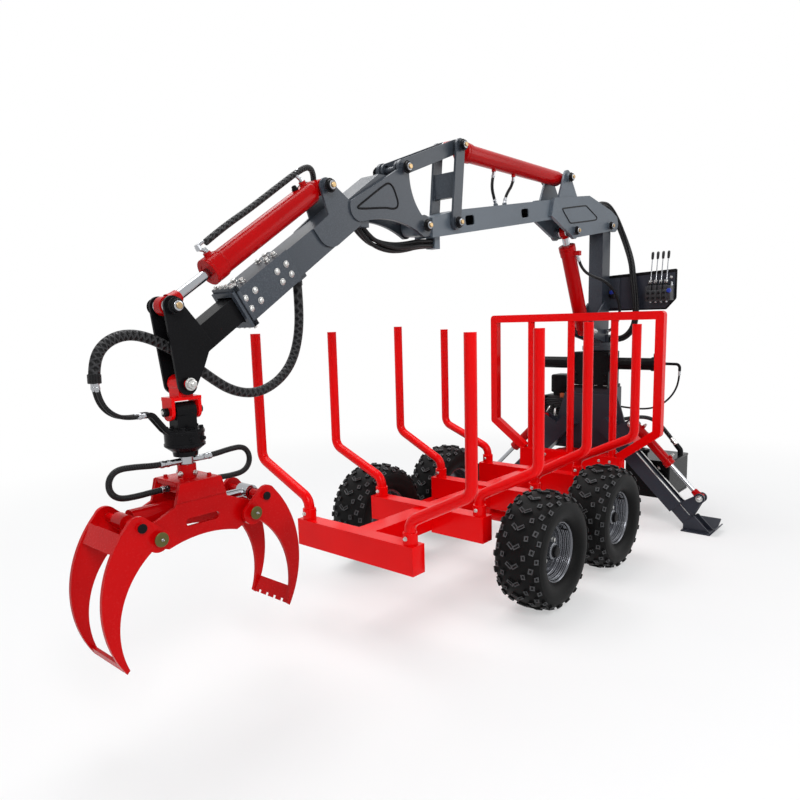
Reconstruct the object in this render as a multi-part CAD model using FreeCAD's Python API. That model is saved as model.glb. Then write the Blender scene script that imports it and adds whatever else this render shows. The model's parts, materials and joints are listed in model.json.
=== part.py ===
"""Forestry trailer with a knuckle-boom crane, for towing behind a small all-terrain vehicle.

Frame: +X points forward to the towing eye, +Y to the left, +Z up. The ground is z = 0 and the origin lies on
it, under the middle of the whole object. Millimetres. Every sub-part is written to parts/NODE.step.
"""
import FreeCAD, Part
import os
from math import acos, atan2, cos, hypot, pi, radians, sin, sqrt, tan

V = FreeCAD.Vector

# ---- driving dimensions: running gear and frame -------------------------------------------------
BOLSTER_X = (-1100.0, -600.0, -90.0, 400.0)
BOLSTER_HALF_LENGTH = 345.5
BOLSTER_TOP = 452.0
BOLSTER_HEIGHT = 122.0
BOLSTER_DEPTH = 76.0
SPINE_HALF_WIDTH = 50.0
SPINE_BOTTOM, SPINE_TOP = 340.0, 440.0
SPINE_REAR, SPINE_FRONT = -1100.0, 1500.0

STAKE_RADIUS, STAKE_WALL, STAKE_BEND = 24.0, 3.0, 60.0
STAKE_BASE_Y, STAKE_KNEE_LOW = 306.0, 545.0
# top of each stake as (y, z) and height of its upper bend, (left, right) on each bolster from the rear:
# the stakes were bent by hand and don't stand quite alike
STAKES = (((637.0, 1307.0, 700.0), (611.0, 1304.0, 700.0)), ((635.0, 1301.0, 686.0), (611.0, 1306.0, 700.0)),
          ((608.0, 1317.0, 700.0), (590.0, 1323.0, 700.0)), ((637.0, 1289.0, 678.0), (631.0, 1302.0, 700.0)))

HEADBOARD_X, HEADBOARD_TUBE = 914.5, 50.0
HEADBOARD_HALF_WIDTH, HEADBOARD_TOP = 573.0, 1345.0
HEADBOARD_KNEE_Z, HEADBOARD_FOOT_Y, HEADBOARD_FOOT_Z = 640.0, 335.0, 465.0
HEADBOARD_BAR_Y, HEADBOARD_BAR_RADIUS = (-290.0, 0.0, 290.0), 23.0

TYRE_RADIUS, TYRE_WIDTH, RIM_RADIUS = 279.5, 238.0, 137.0
WHEEL_X = (-405.0, 259.0)
WHEEL_Y = 526.0
AXLE_RADIUS = 17.0
RUNNING_GAP = 0.05

# ---- driving dimensions: crane base -------------------------------------------------------------
SLEW_X = 1320.0
PEDESTAL_HALF_Y, PEDESTAL_TOP = 135.0, 860.0
HOUSING_TOP = 1115.0
COLUMN_HALF_X, COLUMN_HALF_Y = 60.0, 48.0
RACK_Z, RACK_X, RACK_HALF_LENGTH, RACK_RADIUS = 1030.0, 1262.0, 440.0, 40.0

LEG_SLOPE = 45.0                       # degrees from vertical
LEG_X = 1165.0                         # middle plane of both stabilisers
LEG_ROOT_Y, LEG_ROOT_Z = 120.0, 641.0  # upper end of the outer tube's centre line
LEG_TUBE, LEG_INNER, LEG_WALL = 90.0, 70.0, 5.0
LEG_TUBE_LENGTH = 712.0
LEG_SLOT_START, LEG_SLOT_HALF = 290.0, 33.0   # slot in the outer tube that the leg's cylinder lug runs in
LEG_CYLINDER_OFFSET = 150.0
LEG_CYLINDER_TOP, LEG_CYLINDER_HEAD, LEG_CYLINDER_EYE = 140.0, 489.0, 757.0

# ---- driving dimensions: crane, as (x, z) points in its middle plane ------------------------------
BOOM_PIVOT = (1300.0, 1938.0)
LIFT_TOP, LIFT_BOTTOM = (801.0, 1867.0), (1090.0, 1250.0)
DIPPER_PIVOT = (-661.0, 1770.0)
PUSH_BASE = (715.0, 2167.0)            # dipper cylinder's base pin
PUSH_EYE = (-383.0, 2161.0)            # rocker's upper pin
ROCKER_FOOT = (-424.0, 1805.0)
TIE_END = (-798.0, 2000.0)             # dipper's top pin
BOOM_HALF_WIDTH, BOOM_WALL = 54.0, 6.0
BOOM_RISE, BOOM_DEPTH = 0.1644, 111.8
BOOM_TOP_AT_TIP = (-382.0, 1871.0)

BEAM_SLOPE = 33.54                     # degrees below horizontal, towards the rear
BEAM_START = (-1429.5, 1566.0)         # a point on the telescopic beam's centre line
OUTER_HALF_H, OUTER_HALF_W, OUTER_WALL = 56.0, 50.0, 6.0
INNER_HALF_H, INNER_HALF_W, INNER_START, INNER_END = 44.0, 38.0, -300.0, 505.0
SLEEVE_START, SLEEVE_END = 0.0, 287.0
EXTENSION_OFFSET = 152.0               # extension cylinder's centre line above the beam's
EXTENSION_BASE, EXTENSION_HEAD, EXTENSION_EYE = -315.0, 299.0, 500.0
SWING_PIN = (-1897.0, 1164.0)
CROSS_PIN_Z = 1074.0
LINK_PLATE = (1110.0, 1122.0)          # bottom and top of the cross link's flat plate
ROTATOR_TOP, ROTATOR_BOTTOM = 1013.0, 922.0
ROTATOR_PIPE_END = -2036.0             # x of the faces where the rotator's hoses are screwed on

# ---- driving dimensions: grapple, measured from its own vertical axis -----------------------------
CLAW_PIVOT = (180.0, 700.0)
CLAW_PUSH_PIN = (235.0, 748.0)
BODY_PLATE_Y = (66.0, 78.0)
CLAW_PLATE_Y = (96.0, 110.0)
GRAPPLE_PORT_X, GRAPPLE_PORT_Z = 63.0, 905.0
TOW_BORE = 20.0
EYE_X = 2215.0                         # centre of the towing eye

# ---- driving dimensions: free hoses, each with its radius and its route ---------------------------
CLAMP_HALF = 26.0
BOOM_CLAMP_X, ROOT_CLAMP_X = (-540.0, -500.0), (1150.0, 1175.0)
MAST_CLAMP = (1336.0, 1190.0)          # where the hose bundle from the boom is clamped to the mast
LIFT_CLAMP = (1290.0, 1243.0)
LIFT_PORT = (862.0, -66.0, 1722.0)
SLEW_PORT = (1262.0, -575.0, 990.0)
SLEW_END = (1262.0, -164.0, 742.0)
TANK_PORT = (1500.0, -492.0, 470.0)
PUMP_FACE = (1632.0, 310.0, 540.0)
BARREL_PORT_X = (10.0, 206.0)          # dipper cylinder's two ports
BARREL_PORT_Z = 2110.0
HOSES = {
    "beam_hoses": (18.0, [(-1372, 0, 1520), (-1366, 0, 1410), (-1378, 0, 1296), (-1417, 0, 1200),
                          (-1490, 0, 1134), (-1590, 0, 1100), (-1695, 0, 1118), (-1790, 0, 1180),
                          (-1880, 0, 1252), (-1970, 0, 1309), (-2060, 0, 1334), (-2135, 0, 1312),
                          (-2178, 0, 1255), (-2180, 0, 1190)]),
    "rotator_hose_left": (7.0, [(-2180, 11, 1189), (-2177, 12, 1140), (-2143, 13, 1090), (-2088, 14, 1070),
                                (-2037, 14, 1074)]),
    "rotator_hose_right": (7.0, [(-2180, -11, 1189), (-2177, -12, 1140), (-2143, -13, 1090),
                                 (-2088, -14, 1070), (-2037, -14, 1074)]),
    "grapple_hose_rear": (10.0, [(-1960, 0, 905), (-2010, 0, 906), (-2075, 0, 914), (-2139, 0, 917),
                                 (-2167, 0, 889), (-2167, 0, 850), (-2139, 0, 822), (-2080, 0, 819),
                                 (-2020, 0, 822), (-1968, 0, 822)]),
    "grapple_hose_front": (10.0, [(-1834, 0, 905), (-1785, 0, 907), (-1723, 0, 915), (-1668, 0, 916),
                                  (-1641, 0, 888), (-1641, 0, 850), (-1669, 0, 822), (-1728, 0, 819),
                                  (-1780, 0, 822), (-1826, 0, 822)]),
    "knuckle_hoses": (20.0, [(-1040, 0, 1752), (-985, 0, 1704), (-911, 0, 1676), (-820, 0, 1668),
                             (-728, 0, 1678), (-635, 0, 1698), (-542, 0, 1705)]),
    "column_hoses": (22.0, [(1180, 0, 2044), (1240, 0, 2055), (1322, -3, 2092), (1405, -12, 2090),
                            (1470, -34, 2030), (1493, -72, 1935), (1470, -126, 1820), (1405, -188, 1702),
                            (1355, -220, 1598), (1342, -245, 1480), (1338, -256, 1370),
                            (1338, -245, 1272), (1336, -192, 1204), (1336, -124, 1186),
                            (1336, -66, 1190)]),
    "lift_hose": (9.0, [LIFT_PORT, (867, -74, 1673), (920, -92, 1618), (1024, -104, 1594),
                        (1125, -112, 1580), (1213, -132, 1540), (1265, -158, 1465), (1285, -168, 1380),
                        (1288, -152, 1302), (1290, -110, 1252), (1290, -62, 1243)]),
    "slew_hose": (6.0, [SLEW_PORT, (1262, -573, 925), (1262, -546, 850), (1262, -495, 788),
                        (1262, -428, 748), (1262, -352, 732), (1262, -258, 734), SLEW_END]),
    "suction_hose": (14.0, [TANK_PORT, (1503, -440, 530), (1526, -378, 588), (1575, -305, 620),
                            (1645, -210, 622), (1715, -110, 600), (1765, 5, 572), (1780, 120, 550),
                            (1762, 220, 540), (1705, 290, 538), PUMP_FACE]),
    "dipper_hose_rear": (8.0, [(10, 0, 2106), (-6, 0, 2064), (-8, 0, 2018), (12, 0, 1976), (27, 0, 1946)]),
    "dipper_hose_front": (8.0, [(206, 0, 2106), (192, 0, 2066), (155, 0, 2032), (124, 0, 1996),
                                (114, 0, 1960)]),
}

os.makedirs("parts", exist_ok=True)


# ---- helpers --------------------------------------------------------------------------------------
def save(name, *solids):
    """Write the solids of one node; solids given together don't touch each other."""
    shape = solids[0] if len(solids) == 1 else Part.makeCompound(list(solids))
    shape.exportStep("parts/" + name + ".step")


def fused(*shapes):
    body = shapes[0].multiFuse(list(shapes[1:])) if len(shapes) > 1 else shapes[0]
    return body.removeSplitter()


def block(x0, x1, y0, y1, z0, z1):
    return Part.makeBox(x1 - x0, y1 - y0, z1 - z0, V(x0, y0, z0))


def bar(a, b, radius):
    """Round bar between two points."""
    a, b = V(*a), V(*b)
    return Part.makeCylinder(radius, (b - a).Length, a, b - a)


def pin(point, radius, half_length):
    """Round pin along Y through the crane's middle plane."""
    x, z = point
    return bar((x, -half_length, z), (x, half_length, z), radius)


def prism(outline, y0, y1):
    """Plate in the XZ plane between y0 and y1. An outline step is (x, z), or (mid, end) for an arc."""
    edges = []
    here = outline[0]
    for step in list(outline[1:]) + [outline[0]]:
        end = step if not isinstance(step[0], tuple) else step[1]
        a, b = V(here[0], y0, here[1]), V(end[0], y0, end[1])
        if isinstance(step[0], tuple):
            edges.append(Part.Arc(a, V(step[0][0], y0, step[0][1]), b).toShape())
        elif (b - a).Length > 1e-6:
            edges.append(Part.LineSegment(a, b).toShape())
        here = end
    return Part.Face(Part.Wire(edges)).extrude(V(0, y1 - y0, 0))


def hull_plate(circles, y0, y1):
    """Plate in the XZ plane round two or more circles (x, z, radius), listed anticlockwise."""
    tangents = []
    for (ax, az, ar), (bx, bz, br) in zip(circles, circles[1:] + circles[:1]):
        length = hypot(bx - ax, bz - az)
        dx, dz = (bx - ax) / length, (bz - az) / length
        along = (ar - br) / length
        across = sqrt(1 - along * along)
        nx, nz = dx * along + dz * across, dz * along - dx * across
        tangents.append(((ax + nx * ar, az + nz * ar), (bx + nx * br, bz + nz * br), (nx, nz)))
    outline = [tangents[0][0]]
    for i, (_, end, normal) in enumerate(tangents):
        start, _, following = tangents[(i + 1) % len(tangents)]
        cx, cz, radius = circles[(i + 1) % len(circles)]
        mx, mz = normal[0] + following[0], normal[1] + following[1]
        size = hypot(mx, mz)
        if size < 1e-6:                 # the arc is a half circle
            mx, mz, size = -normal[1], normal[0], 1.0
        outline.append(end)
        outline.append(((cx + mx / size * radius, cz + mz / size * radius), start))
    return prism(outline, y0, y1)


def both_sides(plate):
    """A plate and its twin across the middle plane, as a list."""
    return [plate, plate.mirror(V(0, 0, 0), V(0, 1, 0))]


def slot(centre, half_length, radius, slope, y0, y1):
    """Solid of a long hole with round ends, to be cut from a plate in the XZ plane."""
    dx, dz = half_length * cos(slope), half_length * sin(slope)
    return hull_plate([(centre[0] - dx, centre[1] - dz, radius), (centre[0] + dx, centre[1] + dz, radius)],
                      y0, y1)


def window(centre, half_length, half_height, radius, slope, y0, y1):
    """Solid of a rectangular hole with rounded corners, to be cut from a plate in the XZ plane."""
    corners = [(-1, -1), (1, -1), (1, 1), (-1, 1)]
    circles = []
    for i, j in corners:
        u, v = i * (half_length - radius), j * (half_height - radius)
        circles.append((centre[0] + u * cos(slope) - v * sin(slope),
                        centre[1] + u * sin(slope) + v * cos(slope), radius))
    return hull_plate(circles, y0, y1)


def square_tube(a, b, half_u, half_v, wall, up=(0, 0, 1)):
    """Open-ended rectangular tube between two points; half_v is measured along up."""
    a, b = V(*a), V(*b)
    axis = (b - a).normalize()
    side = V(*up).cross(axis).normalize()
    top = axis.cross(side).normalize()

    def solid(u, v, extra):
        corners = [a - axis * extra + side * (u * i) + top * (v * j)
                   for i, j in ((-1, -1), (1, -1), (1, 1), (-1, 1), (-1, -1))]
        return Part.Face(Part.makePolygon(corners)).extrude(axis * ((b - a).Length + 2 * extra))
    return solid(half_u, half_v, 0).cut(solid(half_u - wall, half_v - wall, 10))


def route_edges(points, radii):
    """Straight runs joined by tangent arcs, one radius for each inner point."""
    pts = [V(*p) for p in points]
    edges, here = [], pts[0]
    for before, corner, after, radius in zip(pts, pts[1:], pts[2:], radii):
        u, w = (before - corner).normalize(), (after - corner).normalize()
        half = acos(max(-1.0, min(1.0, u.dot(w)))) / 2
        back = radius / tan(half)
        start, end = corner + u * back, corner + w * back
        centre = corner + (u + w).normalize() * (radius / sin(half))
        middle = centre + (corner - centre).normalize() * radius
        if (start - here).Length > 1e-4:
            edges.append(Part.LineSegment(here, start).toShape())
        edges.append(Part.Arc(start, middle, end).toShape())
        here = end
    edges.append(Part.LineSegment(here, pts[-1]).toShape())
    return edges


def bend_radii(points):
    """For each inner point, the radius whose arc takes 0.45 of the shorter run beside it."""
    pts = [V(*p) for p in points]
    radii = []
    for before, corner, after in zip(pts, pts[1:], pts[2:]):
        half_turn = (corner - before).getAngle(after - corner) / 2
        radii.append(0.45 * min((corner - before).Length, (after - corner).Length) / tan(half_turn))
    return radii


def bent_bar(points, radius, bend=None):
    """Round bar swept along a bent line; without a bend radius each corner gets its own."""
    radii = bend_radii(points) if bend is None else [bend] * (len(points) - 2)
    edges = route_edges(points, radii)
    wire = Part.Wire(edges)
    start = edges[0].Vertexes[0].Point
    tangent = V(*points[1]) - V(*points[0])
    circle = Part.Wire([Part.Circle(start, tangent, radius).toShape()])
    return wire.makePipeShell([circle], True, False)


def turned(profile, centre, axis):
    """Solid of revolution about a line along axis; profile is (distance along it, radius) points or arcs."""
    turn = FreeCAD.Rotation(V(1, 0, 0), V(*axis))

    def at(p):
        return V(*centre) + turn.multVec(V(p[0], 0, p[1]))
    edges, here = [], profile[0]
    for step in list(profile[1:]) + [profile[0]]:
        end = step if not isinstance(step[0], tuple) else step[1]
        if isinstance(step[0], tuple):
            edges.append(Part.Arc(at(here), at(step[0]), at(end)).toShape())
        elif hypot(end[0] - here[0], end[1] - here[1]) > 1e-6:
            edges.append(Part.LineSegment(at(here), at(end)).toShape())
        here = end
    return Part.Face(Part.Wire(edges)).revolve(V(*centre), V(*axis), 360)


def cylinder_between(base, eye, barrel_length, rod_start, barrel_radius, rod_radius, eye_radius, half_eye,
                     head):
    """A hydraulic cylinder in the crane's middle plane: its barrel and its rod, each with an eye.

    Lengths are measured from the base pin; head is the length of the thicker gland end.
    """
    length = hypot(eye[0] - base[0], eye[1] - base[1])
    ux, uz = (eye[0] - base[0]) / length, (eye[1] - base[1]) / length

    def at(s):
        return (base[0] + ux * s, 0, base[1] + uz * s)
    bore_radius = rod_radius + 0.1
    barrel = fused(bar(at(eye_radius * 0.8), at(barrel_length), barrel_radius),
                   bar(at(barrel_length - head), at(barrel_length), barrel_radius + 5),
                   pin(base, eye_radius, half_eye))
    barrel = barrel.cut(bar(at(eye_radius + 22), at(barrel_length + 5), bore_radius))
    rod = fused(bar(at(length - eye_radius * 0.8), at(rod_start), rod_radius),
                pin(eye, eye_radius, half_eye))
    return barrel, rod


# ---- running gear and frame -----------------------------------------------------------------------
def chassis_spine():
    beam = square_tube((SPINE_REAR, 0, (SPINE_BOTTOM + SPINE_TOP) / 2), (SPINE_FRONT, 0,
                       (SPINE_BOTTOM + SPINE_TOP) / 2), SPINE_HALF_WIDTH, SPINE_HALF_WIDTH, 6)
    middle = sum(WHEEL_X) / 2
    hanger = block(middle - 45, middle + 45, -SPINE_HALF_WIDTH, SPINE_HALF_WIDTH, 300, SPINE_BOTTOM)
    shaft = bar((middle, -330, TYRE_RADIUS), (middle, 330, TYRE_RADIUS), 30)
    return fused(beam, hanger, shaft)


def bolsters():
    spine = block(SPINE_REAR, SPINE_FRONT, -SPINE_HALF_WIDTH, SPINE_HALF_WIDTH, SPINE_BOTTOM - 20, SPINE_TOP)
    solids = []
    for x in BOLSTER_X:
        beam = block(x - BOLSTER_DEPTH / 2, x + BOLSTER_DEPTH / 2, -BOLSTER_HALF_LENGTH,
                     BOLSTER_HALF_LENGTH, BOLSTER_TOP - BOLSTER_HEIGHT, BOLSTER_TOP)
        solids.append(beam.cut(spine))
    return solids


def stakes():
    """Eight bent tubes, closed at the top and each with its own lean."""
    solids = []
    for x, pair in zip(BOLSTER_X, STAKES):
        for side, (top_y, top, knee) in zip((1, -1), pair):
            line = [(x, side * STAKE_BASE_Y, BOLSTER_TOP), (x, side * STAKE_BASE_Y, STAKE_KNEE_LOW),
                    (x, side * top_y, knee), (x, side * top_y, top)]
            outside = bent_bar(line, STAKE_RADIUS, STAKE_BEND)
            bore = line[:-1] + [(x, side * top_y, top - 4)]
            inside = bent_bar(bore, STAKE_RADIUS - STAKE_WALL, STAKE_BEND)
            solids.append(outside.cut(inside))
    return solids


def headboard():
    half = HEADBOARD_TUBE / 2
    x = HEADBOARD_X
    corner = [(-HEADBOARD_FOOT_Y, HEADBOARD_FOOT_Z), (-HEADBOARD_HALF_WIDTH, HEADBOARD_KNEE_Z),
              (-HEADBOARD_HALF_WIDTH, HEADBOARD_TOP), (HEADBOARD_HALF_WIDTH, HEADBOARD_TOP),
              (HEADBOARD_HALF_WIDTH, HEADBOARD_KNEE_Z), (HEADBOARD_FOOT_Y, HEADBOARD_FOOT_Z)]
    beam = block(x - 30, x + 30, -BOLSTER_HALF_LENGTH - 15, BOLSTER_HALF_LENGTH + 15, 335, 465)
    beam = beam.cut(block(x - 40, x + 40, -SPINE_HALF_WIDTH, SPINE_HALF_WIDTH, SPINE_BOTTOM, SPINE_TOP))
    pieces = [beam]
    for (ya, za), (yb, zb) in zip(corner, corner[1:]):
        length = hypot(yb - ya, zb - za)
        uy, uz = (yb - ya) / length, (zb - za) / length
        ny, nz = -uz, uy
        ends = []
        for s, n in ((-1, -1), (-1, 1), (1, 1), (1, -1)):
            py, pz = (ya, za) if s < 0 else (yb, zb)
            ends.append(V(x - half, py + n * ny * half, pz + n * nz * half))
        pieces.append(Part.Face(Part.makePolygon(ends + ends[:1])).extrude(V(HEADBOARD_TUBE, 0, 0)))
    for y, z in corner[1:-1]:
        pieces.append(bar((x - half, y, z), (x + half, y, z), half))
    for y in HEADBOARD_BAR_Y:
        pieces.append(bar((x, y, 460), (x, y, HEADBOARD_TOP), HEADBOARD_BAR_RADIUS))
    whole = fused(*pieces)
    return whole.cut(block(x - 60, x + 60, -SPINE_HALF_WIDTH, SPINE_HALF_WIDTH, SPINE_BOTTOM, SPINE_TOP))


def bogie_beams():
    """Walking beams on the cross shaft, with the four wheel stub axles."""
    middle = sum(WHEEL_X) / 2
    y0, y1 = 330.0, 390.0
    z = TYRE_RADIUS
    beam = hull_plate([(WHEEL_X[0], z, 36), (middle, z - 14, 48), (WHEEL_X[1], z, 36)], y0, y1)
    parts = [beam]
    for x in WHEEL_X:
        parts.append(bar((x, y1, z), (x, WHEEL_Y + 40, z), AXLE_RADIUS))
        parts.append(bar((x, y1, z), (x, y1 + 14, z), 32))
    return both_sides(fused(*parts))


def tyre(x, y):
    half = TYRE_WIDTH / 2
    profile = [(-70, RIM_RADIUS), (-half + 6, 168), ((-half, 205), (-half + 14, 240)),
               ((-half * 0.80, 262), (-half * 0.62, 271)), ((0, TYRE_RADIUS), (half * 0.62, 271)),
               ((half * 0.80, 262), (half - 14, 240)), ((half, 205), (half - 6, 168)), (70, RIM_RADIUS),
               (52, RIM_RADIUS), (half - 24, 172), ((half - 16, 205), (half - 32, 238)), ((0, 262),
               (-half + 32, 238)), ((-half + 16, 205), (-half + 24, 172)), (-52, RIM_RADIUS)]
    return turned(profile, (x, y, TYRE_RADIUS), (0, 1, 0))


def rim(x, y):
    """Pressed rim with its disc and hub; the disc lies towards the outer side."""
    side = 1 if y > 0 else -1
    shell = turned([(-84, 141), (-84, 128), (-60, 118), (60, 118), (84, 128), (84, 141), (78, 141),
                    (70, 136), (52, 136), (48, 124), (-48, 124), (-52, 136), (-70, 136), (-78, 141)],
                   (x, y, TYRE_RADIUS), (0, 1, 0))
    disc = turned([(20, AXLE_RADIUS + RUNNING_GAP), (20, 80), (4, 96), (4, 120), (12, 120), (12, 99),
                   (28, 84), (28, 50), (62, 40), (62, AXLE_RADIUS + RUNNING_GAP)],
                  (x, y, TYRE_RADIUS), (0, side, 0))
    hub = turned([(-80, AXLE_RADIUS + RUNNING_GAP), (-80, 40), (20, 40), (20, AXLE_RADIUS + RUNNING_GAP)],
                 (x, y, TYRE_RADIUS), (0, side, 0))
    return fused(shell, disc, hub)


# ---- crane base, stabilisers, drawbar --------------------------------------------------------------
def pedestal():
    """Box that carries the slewing housing, with the plate the stabiliser tubes are welded to."""
    x0, x1 = SLEW_X - 95, SLEW_X + 95
    outer = block(x0, x1, -PEDESTAL_HALF_Y, PEDESTAL_HALF_Y, SPINE_TOP, PEDESTAL_TOP)
    inner = block(x0 + 8, x1 - 8, -PEDESTAL_HALF_Y + 8, PEDESTAL_HALF_Y - 8, SPINE_TOP - 1, PEDESTAL_TOP - 12)
    plate = block(x0 - 15, x0, -300, 300, 470, 820)
    for side in (-1, 1):
        corner = Part.makePolygon([V(x0 - 20, side * 301, 465), V(x0 - 20, side * 301, 821),
                                   V(x0 - 20, side * 190, 821), V(x0 - 20, side * 301, 465)])
        plate = plate.cut(Part.Face(corner).extrude(V(30, 0, 0)))
    x, y, z = SLEW_END
    stub = bar((x, y - 1, z), (x, 1 - PEDESTAL_HALF_Y, z), 11)
    return fused(outer.cut(inner), plate, stub)


def slew_housing():
    """Rack housing bolted on the pedestal, with the bearing the column's shaft turns in."""
    body = fused(bar((SLEW_X, 0, PEDESTAL_TOP), (SLEW_X, 0, HOUSING_TOP), 92),
                 block(SLEW_X - 110, SLEW_X + 110, -120, 120, PEDESTAL_TOP, PEDESTAL_TOP + 20),
                 block(SLEW_X - 115, SLEW_X + 60, -128, 128, 884, 1108))
    shaft_bore = bar((SLEW_X, 0, 1074), (SLEW_X, 0, HOUSING_TOP + 1), 45 + RUNNING_GAP)
    rack_bore = bar((RACK_X, -200, RACK_Z), (RACK_X, 200, RACK_Z), RACK_RADIUS)
    return body.cut(fused(shaft_bore, rack_bore))


def slew_cylinder():
    """Rack cylinder through the housing, with its two end caps and hose ports."""
    parts = [bar((RACK_X, -RACK_HALF_LENGTH, RACK_Z), (RACK_X, RACK_HALF_LENGTH, RACK_Z), RACK_RADIUS)]
    for side in (-1, 1):
        end = side * RACK_HALF_LENGTH
        parts.append(bar((RACK_X, end - side * 40, RACK_Z), (RACK_X, end + side * 6, RACK_Z),
                         RACK_RADIUS + 6))
        parts.append(bar((RACK_X, end - side * 20, RACK_Z), (RACK_X, end - side * 20, RACK_Z + 68), 12))
    x, y, z = SLEW_PORT
    parts.append(bent_bar([(x, -RACK_HALF_LENGTH, z + 45), (x, y, z + 43), SLEW_PORT], 9, 24))
    return fused(*parts)


def leg_point(s, offset, side, x=LEG_X):
    """Point s along a stabiliser's centre line, offset outwards from it."""
    down_y, down_z = sin(radians(LEG_SLOPE)), -cos(radians(LEG_SLOPE))
    y = LEG_ROOT_Y + s * down_y - offset * down_z
    z = LEG_ROOT_Z + s * down_z + offset * down_y
    return (x, side * y, z)


def leg_tube(side):
    a, b = leg_point(0, 0, side), leg_point(LEG_TUBE_LENGTH, 0, side)
    tube = square_tube(a, b, LEG_TUBE / 2, LEG_TUBE / 2, LEG_WALL, up=(1, 0, 0))
    cap = square_tube(leg_point(-6, 0, side), a, LEG_TUBE / 2, LEG_TUBE / 2, LEG_TUBE / 2 - 0.01,
                      up=(1, 0, 0))
    lug = []
    for dx in (-42, 32):
        corners = [leg_point(s, n, side, LEG_X + dx) for s, n in
                   ((LEG_CYLINDER_TOP - 60, LEG_TUBE / 2), (LEG_CYLINDER_TOP + 80, LEG_TUBE / 2),
                    (LEG_CYLINDER_TOP + 26, LEG_CYLINDER_OFFSET + 22),
                    (LEG_CYLINDER_TOP - 26, LEG_CYLINDER_OFFSET + 22))]
        corners = [V(*c) for c in corners]
        lug.append(Part.Face(Part.makePolygon(corners + corners[:1])).extrude(V(10, 0, 0)))
    end = LEG_TUBE_LENGTH + 5
    opening = [V(*leg_point(s, n, side, LEG_X - LEG_SLOT_HALF)) for s, n in
               ((LEG_SLOT_START, LEG_TUBE / 2 - 8), (end, LEG_TUBE / 2 - 8),
                (end, LEG_TUBE / 2 + 5), (LEG_SLOT_START, LEG_TUBE / 2 + 5))]
    opening = Part.Face(Part.makePolygon(opening + opening[:1])).extrude(V(2 * LEG_SLOT_HALF, 0, 0))
    top = leg_point(LEG_CYLINDER_TOP, LEG_CYLINDER_OFFSET, side)
    pin_bore = bar((top[0] - 60, top[1], top[2]), (top[0] + 60, top[1], top[2]), 12 + RUNNING_GAP)
    return fused(tube, cap, *lug).cut(fused(opening, pin_bore))


def leg_barrel(side):
    n = LEG_CYLINDER_OFFSET
    top, head = leg_point(LEG_CYLINDER_TOP, n, side), leg_point(LEG_CYLINDER_HEAD, n, side)
    body = fused(bar(leg_point(LEG_CYLINDER_TOP + 16, n, side), head, 30),
                 bar(leg_point(LEG_CYLINDER_HEAD - 30, n, side), head, 34),
                 bar((top[0] - 28, top[1], top[2]), (top[0] + 28, top[1], top[2]), 22),
                 bar((top[0] - 50, top[1], top[2]), (top[0] + 50, top[1], top[2]), 12))
    return body.cut(bar(leg_point(LEG_CYLINDER_TOP + 60, n, side),
                        leg_point(LEG_CYLINDER_HEAD + 5, n, side), 14.1))


def leg_inner(side):
    start, end = 250.0, 890.0
    tube = square_tube(leg_point(start, 0, side), leg_point(end, 0, side), LEG_INNER / 2, LEG_INNER / 2, 5,
                       up=(1, 0, 0))
    lug = []
    eye = leg_point(LEG_CYLINDER_EYE, LEG_CYLINDER_OFFSET, side)
    for dx in (-28, 18):
        corners = [V(*leg_point(s, n, side, LEG_X + dx)) for s, n in
                   ((LEG_CYLINDER_EYE - 50, LEG_INNER / 2), (LEG_CYLINDER_EYE + 62, LEG_INNER / 2),
                    (LEG_CYLINDER_EYE + 24, LEG_CYLINDER_OFFSET),
                    (LEG_CYLINDER_EYE - 24, LEG_CYLINDER_OFFSET))]
        lug.append(Part.Face(Part.makePolygon(corners + corners[:1])).extrude(V(10, 0, 0)))
        lug.append(bar((LEG_X + dx, eye[1], eye[2]), (LEG_X + dx + 10, eye[1], eye[2]), 32))
    profile = ((1092, 0), (1250, 0), (1330, 46), (1326, 53), (1248, 8), (1092, 8), (1092, 0))
    sole = Part.Face(Part.makePolygon([V(x, 672, z) for x, z in profile])).extrude(V(0, 173, 0))
    edge = ((838, 0), (845, 0), (878, 42), (872, 46), (838, 8), (838, 0))
    lip = Part.Face(Part.makePolygon([V(1092, y, z) for y, z in edge])).extrude(V(158, 0, 0))
    web = ((676, 8), (836, 8), (744, 98), (734, 98), (676, 40), (676, 8))
    gusset = [Part.Face(Part.makePolygon([V(LEG_X + dx, y, z) for y, z in web])).extrude(V(8, 0, 0))
              for dx in (-43, 35)]
    foot = fused(sole, lip, *gusset)
    if side < 0:
        foot = foot.mirror(V(0, 0, 0), V(0, 1, 0))
    whole = fused(tube, foot, *lug)
    return whole.cut(block(LEG_X - 200, LEG_X + 200, -1000, 1000, -200, 0))


def leg_rod(side):
    n = LEG_CYLINDER_OFFSET
    eye = leg_point(LEG_CYLINDER_EYE, n, side)
    return fused(bar(leg_point(LEG_CYLINDER_TOP + 75 + 205, n, side),
                     leg_point(LEG_CYLINDER_EYE - 20, n, side), 14),
                 bar((eye[0] - 17.5, eye[1], eye[2]), (eye[0] + 17.5, eye[1], eye[2]), 26))


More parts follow.
